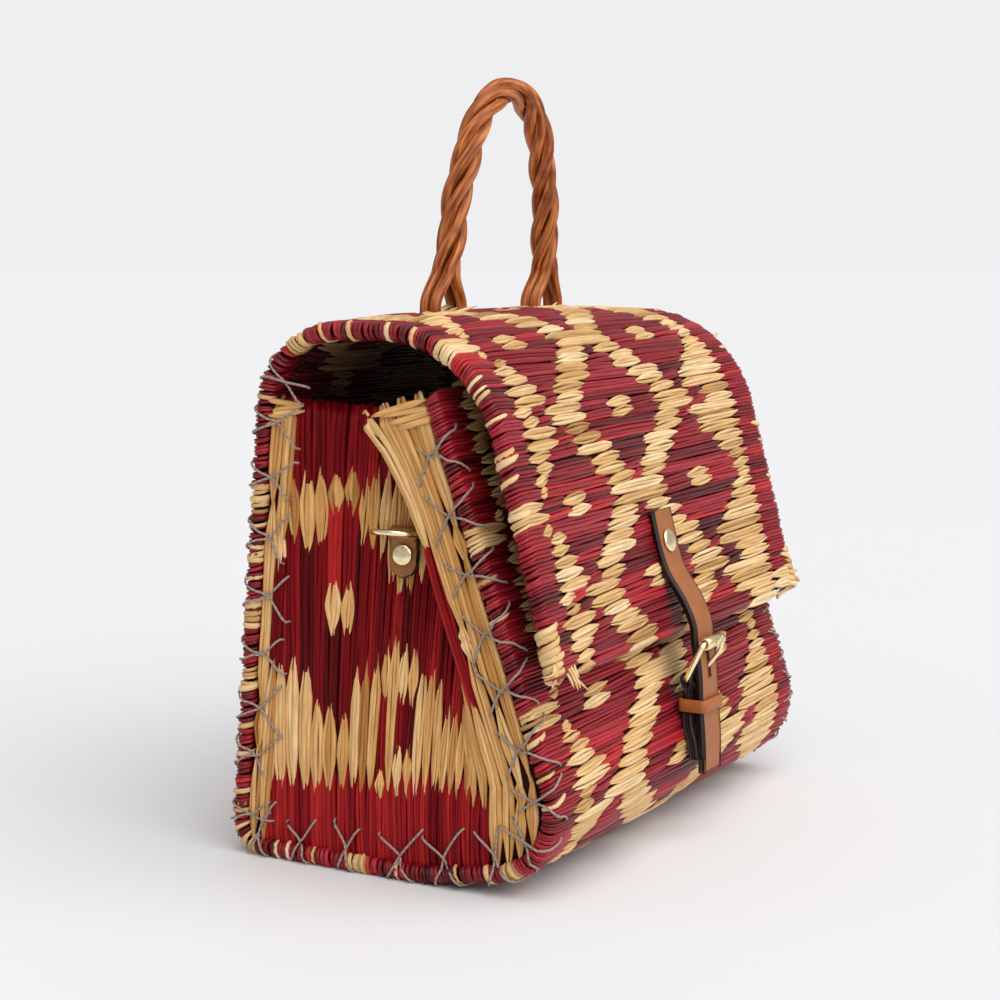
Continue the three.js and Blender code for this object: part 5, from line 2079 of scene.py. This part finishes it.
@dataclass
class Stitching:
    """Crossed linen stitches that tie each panel's border to the mat's end."""

    mat: MatShape
    panel: PanelShape
    finishes: Finishes
    pitch: float = 26.0
    radius: float = 0.56
    bite: float = 12.5
    over: float = 5.0
    first: float = 14.0
    past_top: float = 34.0
    rings: int = 18
    sides: int = 6

    def stations(self) -> Array:
        """Places along the mat where stitches cross."""
        start, stop = self.first, self.mat.marks["top"] + self.past_top
        return np.linspace(start, stop, round((stop - start) / self.pitch) + 1)

    def thread(self, s_in: float, s_out: float, rng: Rng) -> Array:
        """One thread from the panel's border, over the mat's end, to its outer face.

        Args:
            s_in: Where along the mat it leaves the panel.
            s_out: Where it enters the outer face.
            rng: Seeded randomness.

        Returns:
            The thread's points for the left end.
        """
        rim, bend = MatRim(self.mat, End.LEFT), math.pi * self.mat.skin
        bite = self.bite + rng.normal(0.0, 1.6)
        over = self.over + rng.normal(0.0, 1.0)
        turns = np.array([-over - 2.0, -over, -0.4 * over, 0.2 * bend, 0.45 * bend, 0.72 * bend])
        heights = np.array([-2.2, 0.5, 0.8, 0.75, 0.75, 0.7])
        share = np.array([0.0, 0.04, 0.12, 0.22, 0.32, 0.42, 0.52, 0.92, 1.0])
        s = s_out + (s_in - s_out) * share + rng.normal(0.0, 0.5, 9)
        inner = -self.mat.half + self.panel.inset + np.array([-1.2, -1.1, 1.6])
        depth = -self.mat.wall - np.array([0.35, 1.0, 1.15]) * bite
        points = np.vstack([rim.place(turns, s[:6], heights), self.mat.face(inner, s[6:], depth)])
        points[:, 2] = np.maximum(points[:, 2], self.radius + 0.1)
        return even_steps(catmull_rom(points, 40), self.rings)

    def build(self) -> list[Piece]:
        """Builds the stitches of both ends.

        Returns:
            The pieces.
        """
        pieces = []
        template = TubeTemplate(self.rings, self.sides)
        for end in End:
            rng = np.random.default_rng(SEED + 60 + end.value)
            places = self.stations()
            paths = []
            for before, after in zip(places[:-1], places[1:]):
                wide = rng.uniform(0.26, 0.46) * (after - before)
                middle = (before + after) / 2 + rng.normal(0.0, 1.5)
                paths.append(self.thread(middle - wide, middle + wide, rng))
                paths.append(self.thread(middle + wide, middle - wide, rng) + np.array([-0.5, 0, 0]))
            points = tube_points(np.array(paths), self.radius, template)
            points = points * np.array([-end.value, 1.0, 1.0])
            gone = np.linspace(0.0, 30.0, self.rings)[None, :, None] + rng.uniform(0, 99, (len(paths), 1, 1))
            values = {"fibre": template.fibre(gone)}
            piece = template.joined(f"stitches_{end.word}", points, values, self.finishes.linen)
            pieces.append(dressed(piece))
        return pieces


def tube_points(paths: Array, radius: Array | float, template: TubeTemplate) -> Array:
    """Rings of points round many lines at once.

    Args:
        paths: Points of each line, by line, ring and axis.
        radius: The tubes' radius, or one by line and ring.
        template: The tube that the rings are for.

    Returns:
        The points by line, ring, corner and axis.
    """
    heading = unit(np.gradient(paths, axis=1))
    guide = np.array([0.31, 0.57, 0.76])
    first = unit(np.cross(heading, guide))
    second = np.cross(heading, first)
    size = np.broadcast_to(np.asarray(radius, float), paths.shape[:2])[..., None, None]
    angles = template.angles[None, None, :, None]
    ring = first[:, :, None] * np.cos(angles) + second[:, :, None] * np.sin(angles)
    return paths[:, :, None] + size * ring


@dataclass(frozen=True)
class Tuft:
    """A few reed ends that come out of the mat together: place, count, spread, heading and size."""

    x: float
    s: float
    count: int
    spread: Point
    heading_deg: Point
    length: Point
    rise: Point
    red: float = 0.0
    curl: float = 3.5


@dataclass
class LooseEnds:
    """Reed ends that stand off the mat: the flap's frayed lower corners and a few stray tips."""

    mat: MatShape
    finishes: Finishes
    rings: int = 9
    sides: int = 5
    radius: Point = (0.55, 1.1)

    def tufts(self) -> tuple[Tuft, ...]:
        """Where reed ends stand off."""
        marks, half = self.mat.marks, self.mat.half
        tip = marks["tip"]
        return (
            Tuft(1 - half, tip - 6, 3, (2, 5), (110, 160), (7, 12), (2, 4), 0.0, 6.0),
            Tuft(14 - half, tip - 2, 6, (11, 2), (40, 130), (6, 12), (1.5, 4.5), 0.3, 7.0),
            Tuft(half - 3, tip - 4, 4, (2, 3), (-10, 50), (5, 9), (0.5, 2)),
            Tuft(-58, marks["crown"] + 4, 5, (8, 4), (-25, 25), (14, 22), (1, 4)),
            Tuft(40, marks["crown"] + 8, 4, (8, 4), (-20, 20), (10, 18), (1, 3)),
            Tuft(half - 2, marks["arch"] + 40, 1, (1, 5), (-40, 40), (5, 7), (2, 4)),
        )

    def lines(self, tuft: Tuft, rng: Rng) -> Array:
        """The middle lines of a tuft's reed ends.

        Args:
            tuft: The tuft.
            rng: Seeded randomness.

        Returns:
            Points by reed end, ring and axis.
        """
        size = (tuft.count, 1)
        share = np.linspace(0.0, 1.0, self.rings)[None, :]
        heading = np.radians(rng.uniform(*tuft.heading_deg, size))
        along = rng.uniform(*tuft.length, size) * share
        curl = rng.normal(0.0, tuft.curl, size) * share**2
        rise = -1.6 + (1.6 + rng.uniform(*tuft.rise, size)) * share**1.3
        x = tuft.x + tuft.spread[0] * rng.uniform(-1, 1, size)
        s = tuft.s + tuft.spread[1] * rng.uniform(-1, 1, size)
        x = x + np.cos(heading) * along - np.sin(heading) * curl
        s = s + np.sin(heading) * along + np.cos(heading) * curl
        past = np.maximum(s - self.mat.marks["tip"], 0.0)
        lean = math.radians(self.mat.flap_lean_deg)
        hang = np.array([0.0, -math.sin(lean), -math.cos(lean)])
        beyond = np.maximum(np.abs(x) - self.mat.half, 0.0)
        points = self.mat.face(np.clip(x, -self.mat.half, self.mat.half), s - past, rise - 0.35 * beyond)
        points[..., 0] += np.sign(x) * beyond
        return points + past[..., None] * hang

    def build(self) -> list[Piece]:
        """Builds all the loose ends as one piece.

        Returns:
            The piece, in a list.
        """
        rng = np.random.default_rng(SEED + 90)
        template = TubeTemplate(self.rings, self.sides)
        tufts = self.tufts()
        paths = np.concatenate([self.lines(tuft, rng) for tuft in tufts])
        red = np.concatenate([rng.random(tuft.count) < tuft.red for tuft in tufts])
        shape = np.interp(np.linspace(0.0, 1.0, self.rings), (0.0, 0.2, 0.75, 1.0), (0.8, 1.0, 0.9, 0.25))
        points = tube_points(paths, rng.uniform(*self.radius, (len(paths), 1)) * shape[None, :], template)
        gone = np.linspace(0.0, 16.0, self.rings)[None, :, None] + rng.uniform(0, 300, (len(paths), 1, 1))
        tone = rng.uniform(0.2, 1.0, len(paths))
        values = {"dye": red.astype(float), "tone": tone, "fibre": template.fibre(gone)}
        piece = template.joined("loose_ends", points, values, self.finishes.reed)
        return [dressed(piece)]


# The willow handle


@dataclass
class WillowHandle:
    """Four willow rods laid like a rope along a bow, parted into two legs at each foot."""

    mat: MatShape
    finishes: Finishes
    rods: int = 4
    rod_radius: float = 2.65
    rope_radius: float = 4.25
    turns: float = -3.0
    span: float = 98.0
    leg_spread: float = 12.0
    foot_y: float = 24.0
    apex_y: float = 15.0
    apex_z: float = 362.0
    squareness: float = 0.8
    leg_depth: float = 13.0
    split_height: float = 20.0
    plump: float = 0.07
    sway: float = 0.42
    sway_run: float = 11.0
    sway_phase: float = 1.9
    knot_reach: float = 2.6
    gap: float = 0.3
    steps: int = 150
    sides: int = 14
    knots_per_rod: int = 5

    def bow(self) -> tuple[Array, Array]:
        """The bow's line, evenly spaced, and its length on to each point."""
        foot_z = self.mat.top_z(self.foot_y)
        rise = self.apex_z - self.rope_radius - self.rod_radius - foot_z
        speed = math.pi * rise
        stub = self.leg_depth / speed
        along = np.linspace(-stub, 1 + stub, 1601)
        turn = math.pi * np.clip(along, 0.0, 1.0)
        below = speed * np.maximum(np.maximum(-along, along - 1), 0.0)
        flank = np.sign(np.cos(turn)) * np.abs(np.cos(turn)) ** self.squareness
        height = np.sin(turn)
        line = np.stack([-self.span / 2 * flank, self.foot_y + (self.apex_y - self.foot_y) * height,
                         foot_z + rise * height - below], axis=1)
        line = even_steps(line, self.steps + 1)
        return line, distances(line)

    def rod_line(self, number: int) -> tuple[Array, Array]:
        """The middle line of one rod.

        Args:
            number: The rod's number, from 0.

        Returns:
            Its points and the distance along the bow to each.
        """
        bow, gone = self.bow()
        length = gone[-1]
        rope_start = self.leg_depth + self.split_height
        laid = np.clip((gone - rope_start) / (length - 2 * rope_start), 0.0, 1.0)
        turn = 2 * math.pi * (laid * self.turns + number / self.rods + 1 / 8)
        heading = unit(np.gradient(bow, axis=0))
        across = unit(np.array([0.0, 1.0, 0.0]) - heading * heading[:, 1:2])
        inward = np.cross(across, heading)
        out = self.rope_radius + self.sway * np.sin(gone / self.sway_run + self.sway_phase * number)
        line = bow + out[:, None] * (across * np.cos(turn)[:, None] + inward * np.sin(turn)[:, None])
        split = 1.0 - smooth_step(np.minimum(gone, length - gone), self.leg_depth + 2, rope_start)
        inner = 1 if number < 2 else -1
        behind = 1 if number in (0, 3) else -1
        leg_x = np.sign(bow[:, 0]) * (self.span / 2 - inner * self.leg_spread)
        leg_y = self.foot_y + behind * (self.rod_radius + self.gap / 2)
        line[:, 0] += split * (leg_x - line[:, 0])
        line[:, 1] += split * (leg_y - line[:, 1])
        return line, gone

    def build(self) -> list[Piece]:
        """Builds the four rods.

        Returns:
            The rods.
        """
        rods = []
        for number in range(self.rods):
            rng = np.random.default_rng(SEED + 80 + number)
            line, gone = self.rod_line(number)
            knots = rng.uniform(0.1, 0.9, self.knots_per_rod) * gone[-1]
            swell = np.exp(-(((gone[:, None] - knots) / self.knot_reach) ** 2)).sum(1)
            wobble = 0.035 * np.sin(gone / 13.0 + number) + 0.025 * np.sin(gone / 5.3 + 2 * number)
            rope = smooth_step(np.minimum(gone, gone[-1] - gone), self.leg_depth + 6, self.leg_depth + 30)
            bm = swept(line, self.rod_radius * (1.0 + wobble + self.plump * rope + 0.06 * swell), self.sides)
            knot = bm.verts.layers.float.new("knot")
            fibre = bm.verts.layers.float_vector["fibre"]
            for vert in bm.verts:
                near = np.interp(vert[fibre].x, gone, swell)
                vert[knot] = float(np.clip(near * (0.35 + 0.65 * vert[fibre].y) * 0.8, 0.0, 0.85))
                vert[fibre] = (vert[fibre].x + 400.0 * number, vert[fibre].y, vert[fibre].z)
            rod = from_bmesh(f"willow_rod_{number + 1}", bm, self.finishes.willow)
            rods.append(dressed(rod, f"handle_rod_{number + 1}"))
        return rods


# Leather and brass


@dataclass(frozen=True)
class Rivet:
    """A rivet with a domed cap, a shank and a washer, made about +z and then placed."""

    cap_radius: float
    cap_height: float
    grip: float
    shank_radius: float = 1.6
    washer_radius: float = 3.2
    washer_thickness: float = 1.1
    steps: int = 36

    def mesh(self, place: Matrix) -> Solid:
        """Spins the rivet and moves it to its place.

        Args:
            place: A matrix that takes +z to the cap's direction and the origin to the cap's seat.

        Returns:
            The bmesh.
        """
        dome = [(self.cap_radius * math.cos(turn), self.cap_height * (0.34 + 0.66 * math.sin(turn)))
                for turn in np.linspace(0.0, math.pi / 2, 9)]
        back = -self.grip - self.washer_thickness
        profile = [
            (0.0, back),
            (self.washer_radius * 0.9, back),
            (self.washer_radius, back + 0.3),
            (self.washer_radius, -self.grip),
            (self.shank_radius, -self.grip),
            (self.shank_radius, 0.0),
            (self.cap_radius * 0.95, 0.0),
            (self.cap_radius, 0.12 * self.cap_height),
            *dome[:-1],
            (0.0, self.cap_height),
        ]
        bm = spun(profile, self.steps)
        bmesh.ops.transform(bm, matrix=place, verts=bm.verts)
        return bm


def facing(point: Sequence[float], axis: Sequence[float]) -> Matrix:
    """A place whose +z looks along an axis.

    Args:
        point: The place.
        axis: The direction.

    Returns:
        The matrix.
    """
    turn = Vector((0, 0, 1)).rotation_difference(Vector(axis).normalized())
    return Matrix.Translation(Vector(point)) @ turn.to_matrix().to_4x4()


@dataclass
class StrapAndBuckle:
    """The flap's strap, its rivet, and the roller buckle on its riveted leather end."""

    mat: MatShape
    finishes: Finishes
    gap: float = 0.3
    strap_width: float = 18.0
    strap_thickness: float = 3.0
    strap_top_z: float = 155.0
    rivet_z: float = 140.0
    leave_z: float = 127.0
    leave_off: float = 1.4
    strap_slit: tuple[float, float, float] = (1.6, 0.56, 0.65)
    flap_cap: Point = (5.6, 1.9)
    strap_hang: tuple[Point, ...] = (
        (-83.6, 114), (-88.8, 103), (-89.9, 94), (-91.3, 85), (-92.3, 76),
        (-92.8, 64), (-93.9, 52), (-94.4, 42), (-94.4, 32),
    )
    hinge: Point = (-86.5, 76.0)
    roller: Point = (-95.0, 94.0)
    wire: float = 1.4
    half_width: float = 11.6
    corner_radius: float = 2.4
    roller_radius: float = 3.0
    roller_length: float = 19.4
    prong_radius: float = 1.15
    eye_radius: float = 3.3
    eye_width: float = 3.0
    chape_run: tuple[Point, ...] = ((-86.5, 73), (-86.4, 64), (-86.7, 54), (-89.0, 46), (-90.1, 38))
    chape_thickness: float = 4.4
    chape_leather: float = 2.0
    chape_slit: tuple[float, float, float] = (2.1, 0.42, 0.58)
    chape_rivet_z: float = 58.0
    chape_cap: Point = (4.2, 1.2)
    keeper_z: float = 64.0
    keeper_height: float = 6.0
    keeper_thickness: float = 1.8
    keeper_half: float = 9.5
    keeper_back_y: float = -83.9
    keeper_front_y: float = -94.8

    def strap(self) -> Piece:
        """The strap down the flap and through the buckle."""
        off = (self.gap + self.strap_thickness / 2) / math.cos(math.radians(self.mat.flap_lean_deg))
        top = [(self.mat.outer_y(z) - off, z) for z in (self.strap_top_z, self.rivet_z)]
        leave = (self.mat.outer_y(self.leave_z) - off - self.leave_off, self.leave_z)
        line = even_steps(catmull_rom([*top, leave, *self.strap_hang], 240), 110)
        path = np.c_[np.zeros(len(line)), line]
        width = self.strap_width + 0.25 * np.sin(np.linspace(0, 17, len(line)))
        bm = bent_band(path, width, self.strap_thickness, 14, Vector((-1, 0, 0)), self.strap_slit)
        piece = from_bmesh("strap", bm, self.finishes.strap, self.finishes.strap_edge)
        return dressed(piece, "flap_strap")

    def flap_rivet(self) -> Piece:
        """The rivet that holds the strap to the flap."""
        lean = math.radians(self.mat.flap_lean_deg)
        axis = Vector((0, -math.cos(lean), math.sin(lean)))
        seat = Vector((0, self.mat.outer_y(self.rivet_z), self.rivet_z))
        rivet = Rivet(*self.flap_cap, self.mat.wall + self.strap_thickness + 3 * self.gap)
        bm = rivet.mesh(facing(seat + axis * (self.strap_thickness + 2 * self.gap), axis))
        return dressed(from_bmesh("strap_rivet", bm, self.finishes.brass), "flap_rivet")

    def frame(self) -> Piece:
        """The buckle's bent wire frame."""
        rise = Vector((0, self.roller[0] - self.hinge[0], self.roller[1] - self.hinge[1]))
        height = rise.length
        rise.normalize()
        points = []
        for side, level, start in ((1, 1, 0), (-1, 1, 90), (-1, 0, 180), (1, 0, 270)):
            centre_x = side * (self.half_width - self.corner_radius)
            centre_v = height - self.corner_radius if level else self.corner_radius
            for step in np.linspace(0, 90, 9):
                turn = math.radians(start + step)
                v = centre_v + self.corner_radius * math.sin(turn)
                foot = Vector((centre_x + self.corner_radius * math.cos(turn), *self.hinge))
                points.append(foot + rise * v)
        path = np.array(points)
        normal = Vector((1, 0, 0)).cross(rise)
        bm = swept(path, self.wire, 14, closed=True, up=normal)
        return dressed(from_bmesh("buckle_wire", bm, self.finishes.brass), "buckle_frame")

    def roller_tube(self) -> Piece:
        """The roller on the buckle's upper bar."""
        half, bore, out = self.roller_length / 2, self.wire + self.gap, self.roller_radius
        ease = 0.35
        profile = [(bore, -half + ease), (bore + ease, -half), (out - ease, -half), (out, -half + ease),
                   (out, half - ease), (out - ease, half), (bore + ease, half), (bore, half - ease),
                   (bore, -half + ease)]
        bm = spun(profile, 32)
        bmesh.ops.transform(bm, matrix=facing((0, *self.roller), (1, 0, 0)), verts=bm.verts)
        return dressed(from_bmesh("buckle_roll", bm, self.finishes.brass), "buckle_roller")

    def prong(self) -> Piece:
        """The prong, with its eye round the hinge bar."""
        y, z = self.hinge
        reach = self.roller_radius + self.gap + self.prong_radius
        middle = (self.wire + self.gap + self.eye_radius) / 2
        start = math.radians(140)
        turns = np.linspace(start + 1.85 * math.pi, start, 26)
        eye = [(y + middle * math.cos(turn), z + middle * math.sin(turn)) for turn in turns]
        run = [(y - 6.8, z + 7.0), (self.roller[0] - reach + 0.1, self.roller[1] - 2.8),
               (self.roller[0] - reach - 0.3, self.roller[1] + 3.2)]
        line = np.array([*eye, *catmull_rom([eye[-1], *run], 24)[1:]])
        path = even_steps(np.c_[np.zeros(len(line)), line], 70)
        share = np.linspace(0, 1, len(path))
        taper = np.interp(share, (0, 0.45, 0.9, 1.0), (0.72, 1.0, 0.92, 0.6)) * self.prong_radius
        bm = swept(path, taper, 12, up=(1, 0, 0))
        return dressed(from_bmesh("buckle_tongue", bm, self.finishes.brass), "buckle_prong")

    def chape(self) -> Piece:
        """The lower strap end, folded round the hinge bar."""
        y, z = self.hinge
        layer = self.chape_thickness / 4
        run = catmull_rom(self.chape_run, 60)
        heading = unit(np.gradient(run, axis=0))
        normal = np.c_[heading[:, 1], -heading[:, 0]]
        front, back = run + normal * layer, run - normal * layer
        bend = self.wire + self.gap + self.chape_leather / 2
        turns = np.linspace(-0.15 * math.pi, 1.15 * math.pi, 24)
        over = np.c_[y + bend * np.cos(turns), z + bend * np.sin(turns)]
        if front[0, 0] < back[0, 0]:
            front, back = back, front
        line = even_steps(np.vstack([front[::-1][:-3], over, back[3:]]), 90)
        path = np.c_[np.zeros(len(line)), line]
        bm = bent_band(path, self.strap_width, self.chape_leather, 12, Vector((-1, 0, 0)), self.chape_slit)
        piece = from_bmesh("chape", bm, self.finishes.chape, self.finishes.strap_edge)
        return dressed(piece, "buckle_chape")

    def chape_rivet(self) -> Piece:
        """The rivet that holds the chape to the front wall."""
        face = self.chape_run[2][0] - self.chape_thickness / 2 - self.gap
        wall = self.mat.wall / math.sin(self.mat.front_slope)
        inside = self.mat.front_y(self.chape_rivet_z + Rivet.washer_radius) + wall
        place = facing((0, face, self.chape_rivet_z), (0, -1, 0))
        bm = Rivet(*self.chape_cap, inside - face + self.gap).mesh(place)
        return dressed(from_bmesh("chape_stud", bm, self.finishes.brass), "chape_rivet")

    def keeper(self) -> Piece:
        """The keeper loop round the strap's free end."""
        ease, thick = 1.6, self.keeper_thickness
        points = []
        corners = ((1, self.keeper_back_y, 0), (-1, self.keeper_back_y, 90),
                   (-1, self.keeper_front_y, 180), (1, self.keeper_front_y, 270))
        for side, y, start in corners:
            inward = -1 if y == self.keeper_back_y else 1
            centre = (side * (self.keeper_half + thick / 2 - ease), y + inward * (ease - thick / 2))
            for step in np.linspace(0, 90, 7):
                turn = math.radians(start + step)
                corner = centre[0] + ease * math.cos(turn), centre[1] + ease * math.sin(turn)
                points.append((*corner, self.keeper_z))
        wide, high, soft = thick / 2, self.keeper_height / 2, 0.4
        section = [(wide, -high + soft), (wide, high - soft), (wide - soft, high), (-wide + soft, high),
                   (-wide, high - soft), (-wide, -high + soft), (-wide + soft, -high), (wide - soft, -high)]
        bm = swept(np.array(points), 1.0, section, closed=True, up=(0, 0, 1))
        piece = from_bmesh("keeper_loop", bm, self.finishes.keeper)
        return dressed(piece, "strap_keeper")

    def build(self) -> list[Piece]:
        """Builds every piece of the fastening.

        Returns:
            The pieces.
        """
        return [
            self.strap(), self.flap_rivet(), self.frame(), self.roller_tube(), self.prong(),
            self.chape(), self.chape_rivet(), self.keeper(),
        ]


@dataclass
class RingTabs:
    """A folded leather tab on each end panel, with its rivet and a brass ring that swings in it."""

    panel: PanelShape
    finishes: Finishes
    gap: float = 0.3
    y: float = 1.0
    z: float = 153.0
    width: float = 12.5
    length: float = 19.4
    thickness: float = 4.2
    leather: float = 2.0
    rivet_drop: float = 9.3
    cap_radius: float = 4.6
    cap_height: float = 1.7
    wire: float = 1.4
    ring_half: float = 11.3
    ring_slide: float = 2.8
    ring_reach: float = 13.5

    def tab_place(self) -> tuple[Matrix, float]:
        """The left tab's own frame and how far out its back lies.

        Returns:
            A matrix with x along the ring's bar, -y out of the panel and z up the tab, and the back's
            y in it.
        """
        face = self.panel.main_face
        here = Vector(face(self.y, self.z))
        up = Vector(face(self.y, self.z + 1) - face(self.y, self.z - self.length)).normalized()
        along = Vector(face(self.y - 1, self.z) - face(self.y + 1, self.z)).normalized()
        inward = up.cross(along).normalized()
        along = inward.cross(up)
        place = placing(along, inward, up, here)
        rise = 0.0
        for side in (-0.5, 0.0, 0.5):
            for down in (-0.15, 0.25, 0.5, 0.75, 1.0):
                point = face(self.y + side * self.width, self.z - down * self.length)
                rise = max(rise, -(place.inverted() @ Vector(point)).y)
        return place, -rise - self.gap

    def tab(self, place: Matrix, back_y: float) -> Solid:
        """The folded tab.

        Args:
            place: The tab's frame.
            back_y: Where its back lies.

        Returns:
            The bmesh for the left end.
        """
        bore = self.wire + self.gap
        bend = bore + self.leather / 2
        eye_y = back_y - bore - self.leather
        layer = self.thickness / 4
        front_y, rear_y = back_y - 3 * layer, back_y - layer
        turns = np.linspace(-0.12 * math.pi, 1.12 * math.pi, 24)
        over = [(eye_y + bend * -math.cos(turn), bend * math.sin(turn)) for turn in turns]
        foot = -self.length
        front = [(front_y, foot + 0.3), (front_y, 0.6 * foot), (front_y, 0.24 * foot)]
        rear = [(rear_y, 0.24 * foot), (rear_y, 0.6 * foot), (rear_y, foot)]
        line = even_steps(catmull_rom([*front, *over, *rear], 260), 80)
        path = np.c_[np.zeros(len(line)), line]
        left = np.minimum(np.linspace(0, 1, 80), np.linspace(1, 0, 80)) * 2.4 * self.length
        share = np.clip(1.0 - left / (self.width / 2), 0.0, 1.0)
        widths = self.width * np.sqrt(np.maximum(1.0 - share**2, 0.03))
        bm = bent_band(path, widths, self.leather, 10, Vector((1, 0, 0)))
        bmesh.ops.transform(bm, matrix=place, verts=bm.verts)
        return bm

    def ring(self, place: Matrix, eye_y: float) -> Solid:
        """The D ring, with its straight bar in the tab's fold.

        Args:
            place: The tab's frame.
            eye_y: Where its bar lies.

        Returns:
            The bmesh for the left end.
        """
        bar = np.linspace(-self.ring_half + 1.2, self.ring_half - 1.2, 8)
        turns = np.radians(np.linspace(8, 172, 40))
        x = np.r_[bar, self.ring_half * np.cos(turns)] - self.ring_slide
        y = eye_y - np.r_[np.zeros(len(bar)), self.ring_reach * np.sin(turns)]
        bm = swept(np.stack([x, y, np.zeros(len(x))], axis=1), self.wire, 14, closed=True, up=(0, 0, 1))
        bmesh.ops.transform(bm, matrix=place, verts=bm.verts)
        return bm

    def build(self) -> list[Piece]:
        """Builds the tabs, rivets and rings of both ends.

        Returns:
            The pieces.
        """
        place, back_y = self.tab_place()
        eye_y = back_y - self.wire - self.gap - self.leather
        pieces = []
        for end in End:
            tab = from_bmesh(f"tab_{end.word}", mirrored(self.tab(place, back_y), end), self.finishes.tab,
                             self.finishes.strap_edge)
            grip = self.panel.thickness + self.thickness + 5 * self.gap
            seat = Matrix.Translation(Vector((0, back_y - self.thickness - self.gap, -self.rivet_drop)))
            cap = place @ seat @ facing((0, 0, 0), (0, -1, 0))
            stud = Rivet(self.cap_radius, self.cap_height, grip).mesh(cap)
            rivet = from_bmesh(f"tab_stud_{end.word}", mirrored(stud, end), self.finishes.brass)
            loop = mirrored(self.ring(place, eye_y), end)
            ring = from_bmesh(f"d_ring_{end.word}", loop, self.finishes.brass)
            pieces += [
                dressed(tab, f"ring_tab_{end.word}"),
                dressed(rivet, f"tab_rivet_{end.word}"),
                dressed(ring, f"side_ring_{end.word}",
                        Body.RING_LEFT if end is End.LEFT else Body.RING_RIGHT),
            ]
        return pieces


# Studio


@dataclass
class Studio:
    """The pale floor, the soft light and the camera at the photograph's viewpoint."""

    eye: tuple[float, float, float] = (-0.86406, -0.46804, 0.27395)
    heading_deg: float = 29.507
    pitch_deg: float = 6.843
    lens: float = 72.0
    sensor: float = 36.0
    floor_size: float = 40.0
    floor_colour: Colour = (0.808, 0.810, 0.824)
    sky: Colour = (1.0, 1.0, 1.0)
    sky_strength: float = 0.46
    backdrop: Colour = (0.862, 0.863, 0.875)
    sun_from: Colour = (-0.17, -0.60, 0.782)
    sun_strength: float = 2.85
    sun_angle_deg: float = 80.0

    def camera(self) -> None:
        """Sets the camera at the photograph's eye."""
        heading, pitch = math.radians(self.heading_deg), math.radians(self.pitch_deg)
        level = math.cos(pitch)
        look = Vector((level * math.cos(heading), level * math.sin(heading), -math.sin(pitch)))
        data = bpy.data.cameras.new("camera")
        data.lens, data.sensor_width, data.clip_end = self.lens, self.sensor, 100.0
        camera = bpy.data.objects.new("camera", data)
        camera.location = self.eye
        camera.rotation_euler = look.to_track_quat("-Z", "Y").to_euler()
        bpy.context.scene.collection.objects.link(camera)
        bpy.context.scene.camera = camera

    def floor(self) -> None:
        """Lays the pale floor."""
        bm = bmesh.new()
        bmesh.ops.create_grid(bm, x_segments=1, y_segments=1, size=self.floor_size / MM)
        sheet = NodeSheet("floor")
        place = sheet.node("TexCoord").outputs["Object"]
        cloud = sheet.noise(place, 1.5)
        low = tuple(0.985 * part for part in self.floor_colour)
        colour = sheet.mixed(cloud, low, self.floor_colour)
        sheet.set(Base_Color=colour, Roughness=0.6, Specular_IOR_Level=0.25)
        from_bmesh("floor", bm, sheet.material)

    def sun(self) -> None:
        """Adds the broad key light from above and in front."""
        data = bpy.data.lights.new("key", "SUN")
        data.energy, data.angle = self.sun_strength, math.radians(self.sun_angle_deg)
        lamp = bpy.data.objects.new("key", data)
        lamp.rotation_euler = (-Vector(self.sun_from)).to_track_quat("-Z", "Y").to_euler()
        lamp.location = Vector(self.sun_from) * 2
        bpy.context.scene.collection.objects.link(lamp)

    def surround(self) -> None:
        """Lights the room evenly, in front of a pale backdrop."""
        world = bpy.data.worlds.new("studio")
        world.use_nodes = True
        tree = world.node_tree
        light = tree.nodes["Background"]
        light.inputs["Color"].default_value = (*self.sky, 1.0)
        light.inputs["Strength"].default_value = self.sky_strength
        back = tree.nodes.new("ShaderNodeBackground")
        back.inputs["Color"].default_value = (*self.backdrop, 1.0)
        mix = tree.nodes.new("ShaderNodeMixShader")
        path = tree.nodes.new("ShaderNodeLightPath")
        tree.links.new(path.outputs["Is Camera Ray"], mix.inputs["Fac"])
        tree.links.new(light.outputs["Background"], mix.inputs[1])
        tree.links.new(back.outputs["Background"], mix.inputs[2])
        tree.links.new(mix.outputs["Shader"], tree.nodes["World Output"].inputs["Surface"])
        bpy.context.scene.world = world

    def build(self) -> None:
        """Builds the studio."""
        self.camera()
        self.floor()
        self.surround()
        self.sun()
        bpy.context.scene.view_settings.view_transform = "Standard"


def main() -> None:
    """Builds every sub-assembly in order and reports each piece."""
    logging.basicConfig(level=logging.INFO, format="%(name)s: %(message)s")
    studio = Studio()
    studio.build()
    finishes = Finishes.build()
    mat = MatShape()
    panel = PanelShape(mat)
    border = FloatWeave(spare=1.22, crown=0.5, slant=0.0, natural=PANEL_FORM)
    makers = (
        WovenMat(mat, FloatWeave(), finishes),
        EndPanels(panel, replace(border, red=PANEL_RED_FORM), border, finishes),
        Stitching(mat, panel, finishes),
        LooseEnds(mat, finishes),
        WillowHandle(mat, finishes),
        StrapAndBuckle(mat, finishes),
        RingTabs(panel, finishes),
    )
    for maker in makers:
        for piece in maker.build():
            LOG.info("%s: %s has %d faces", type(maker).__name__, piece.name, len(piece.data.polygons))


if __name__ == "__main__":
    main()
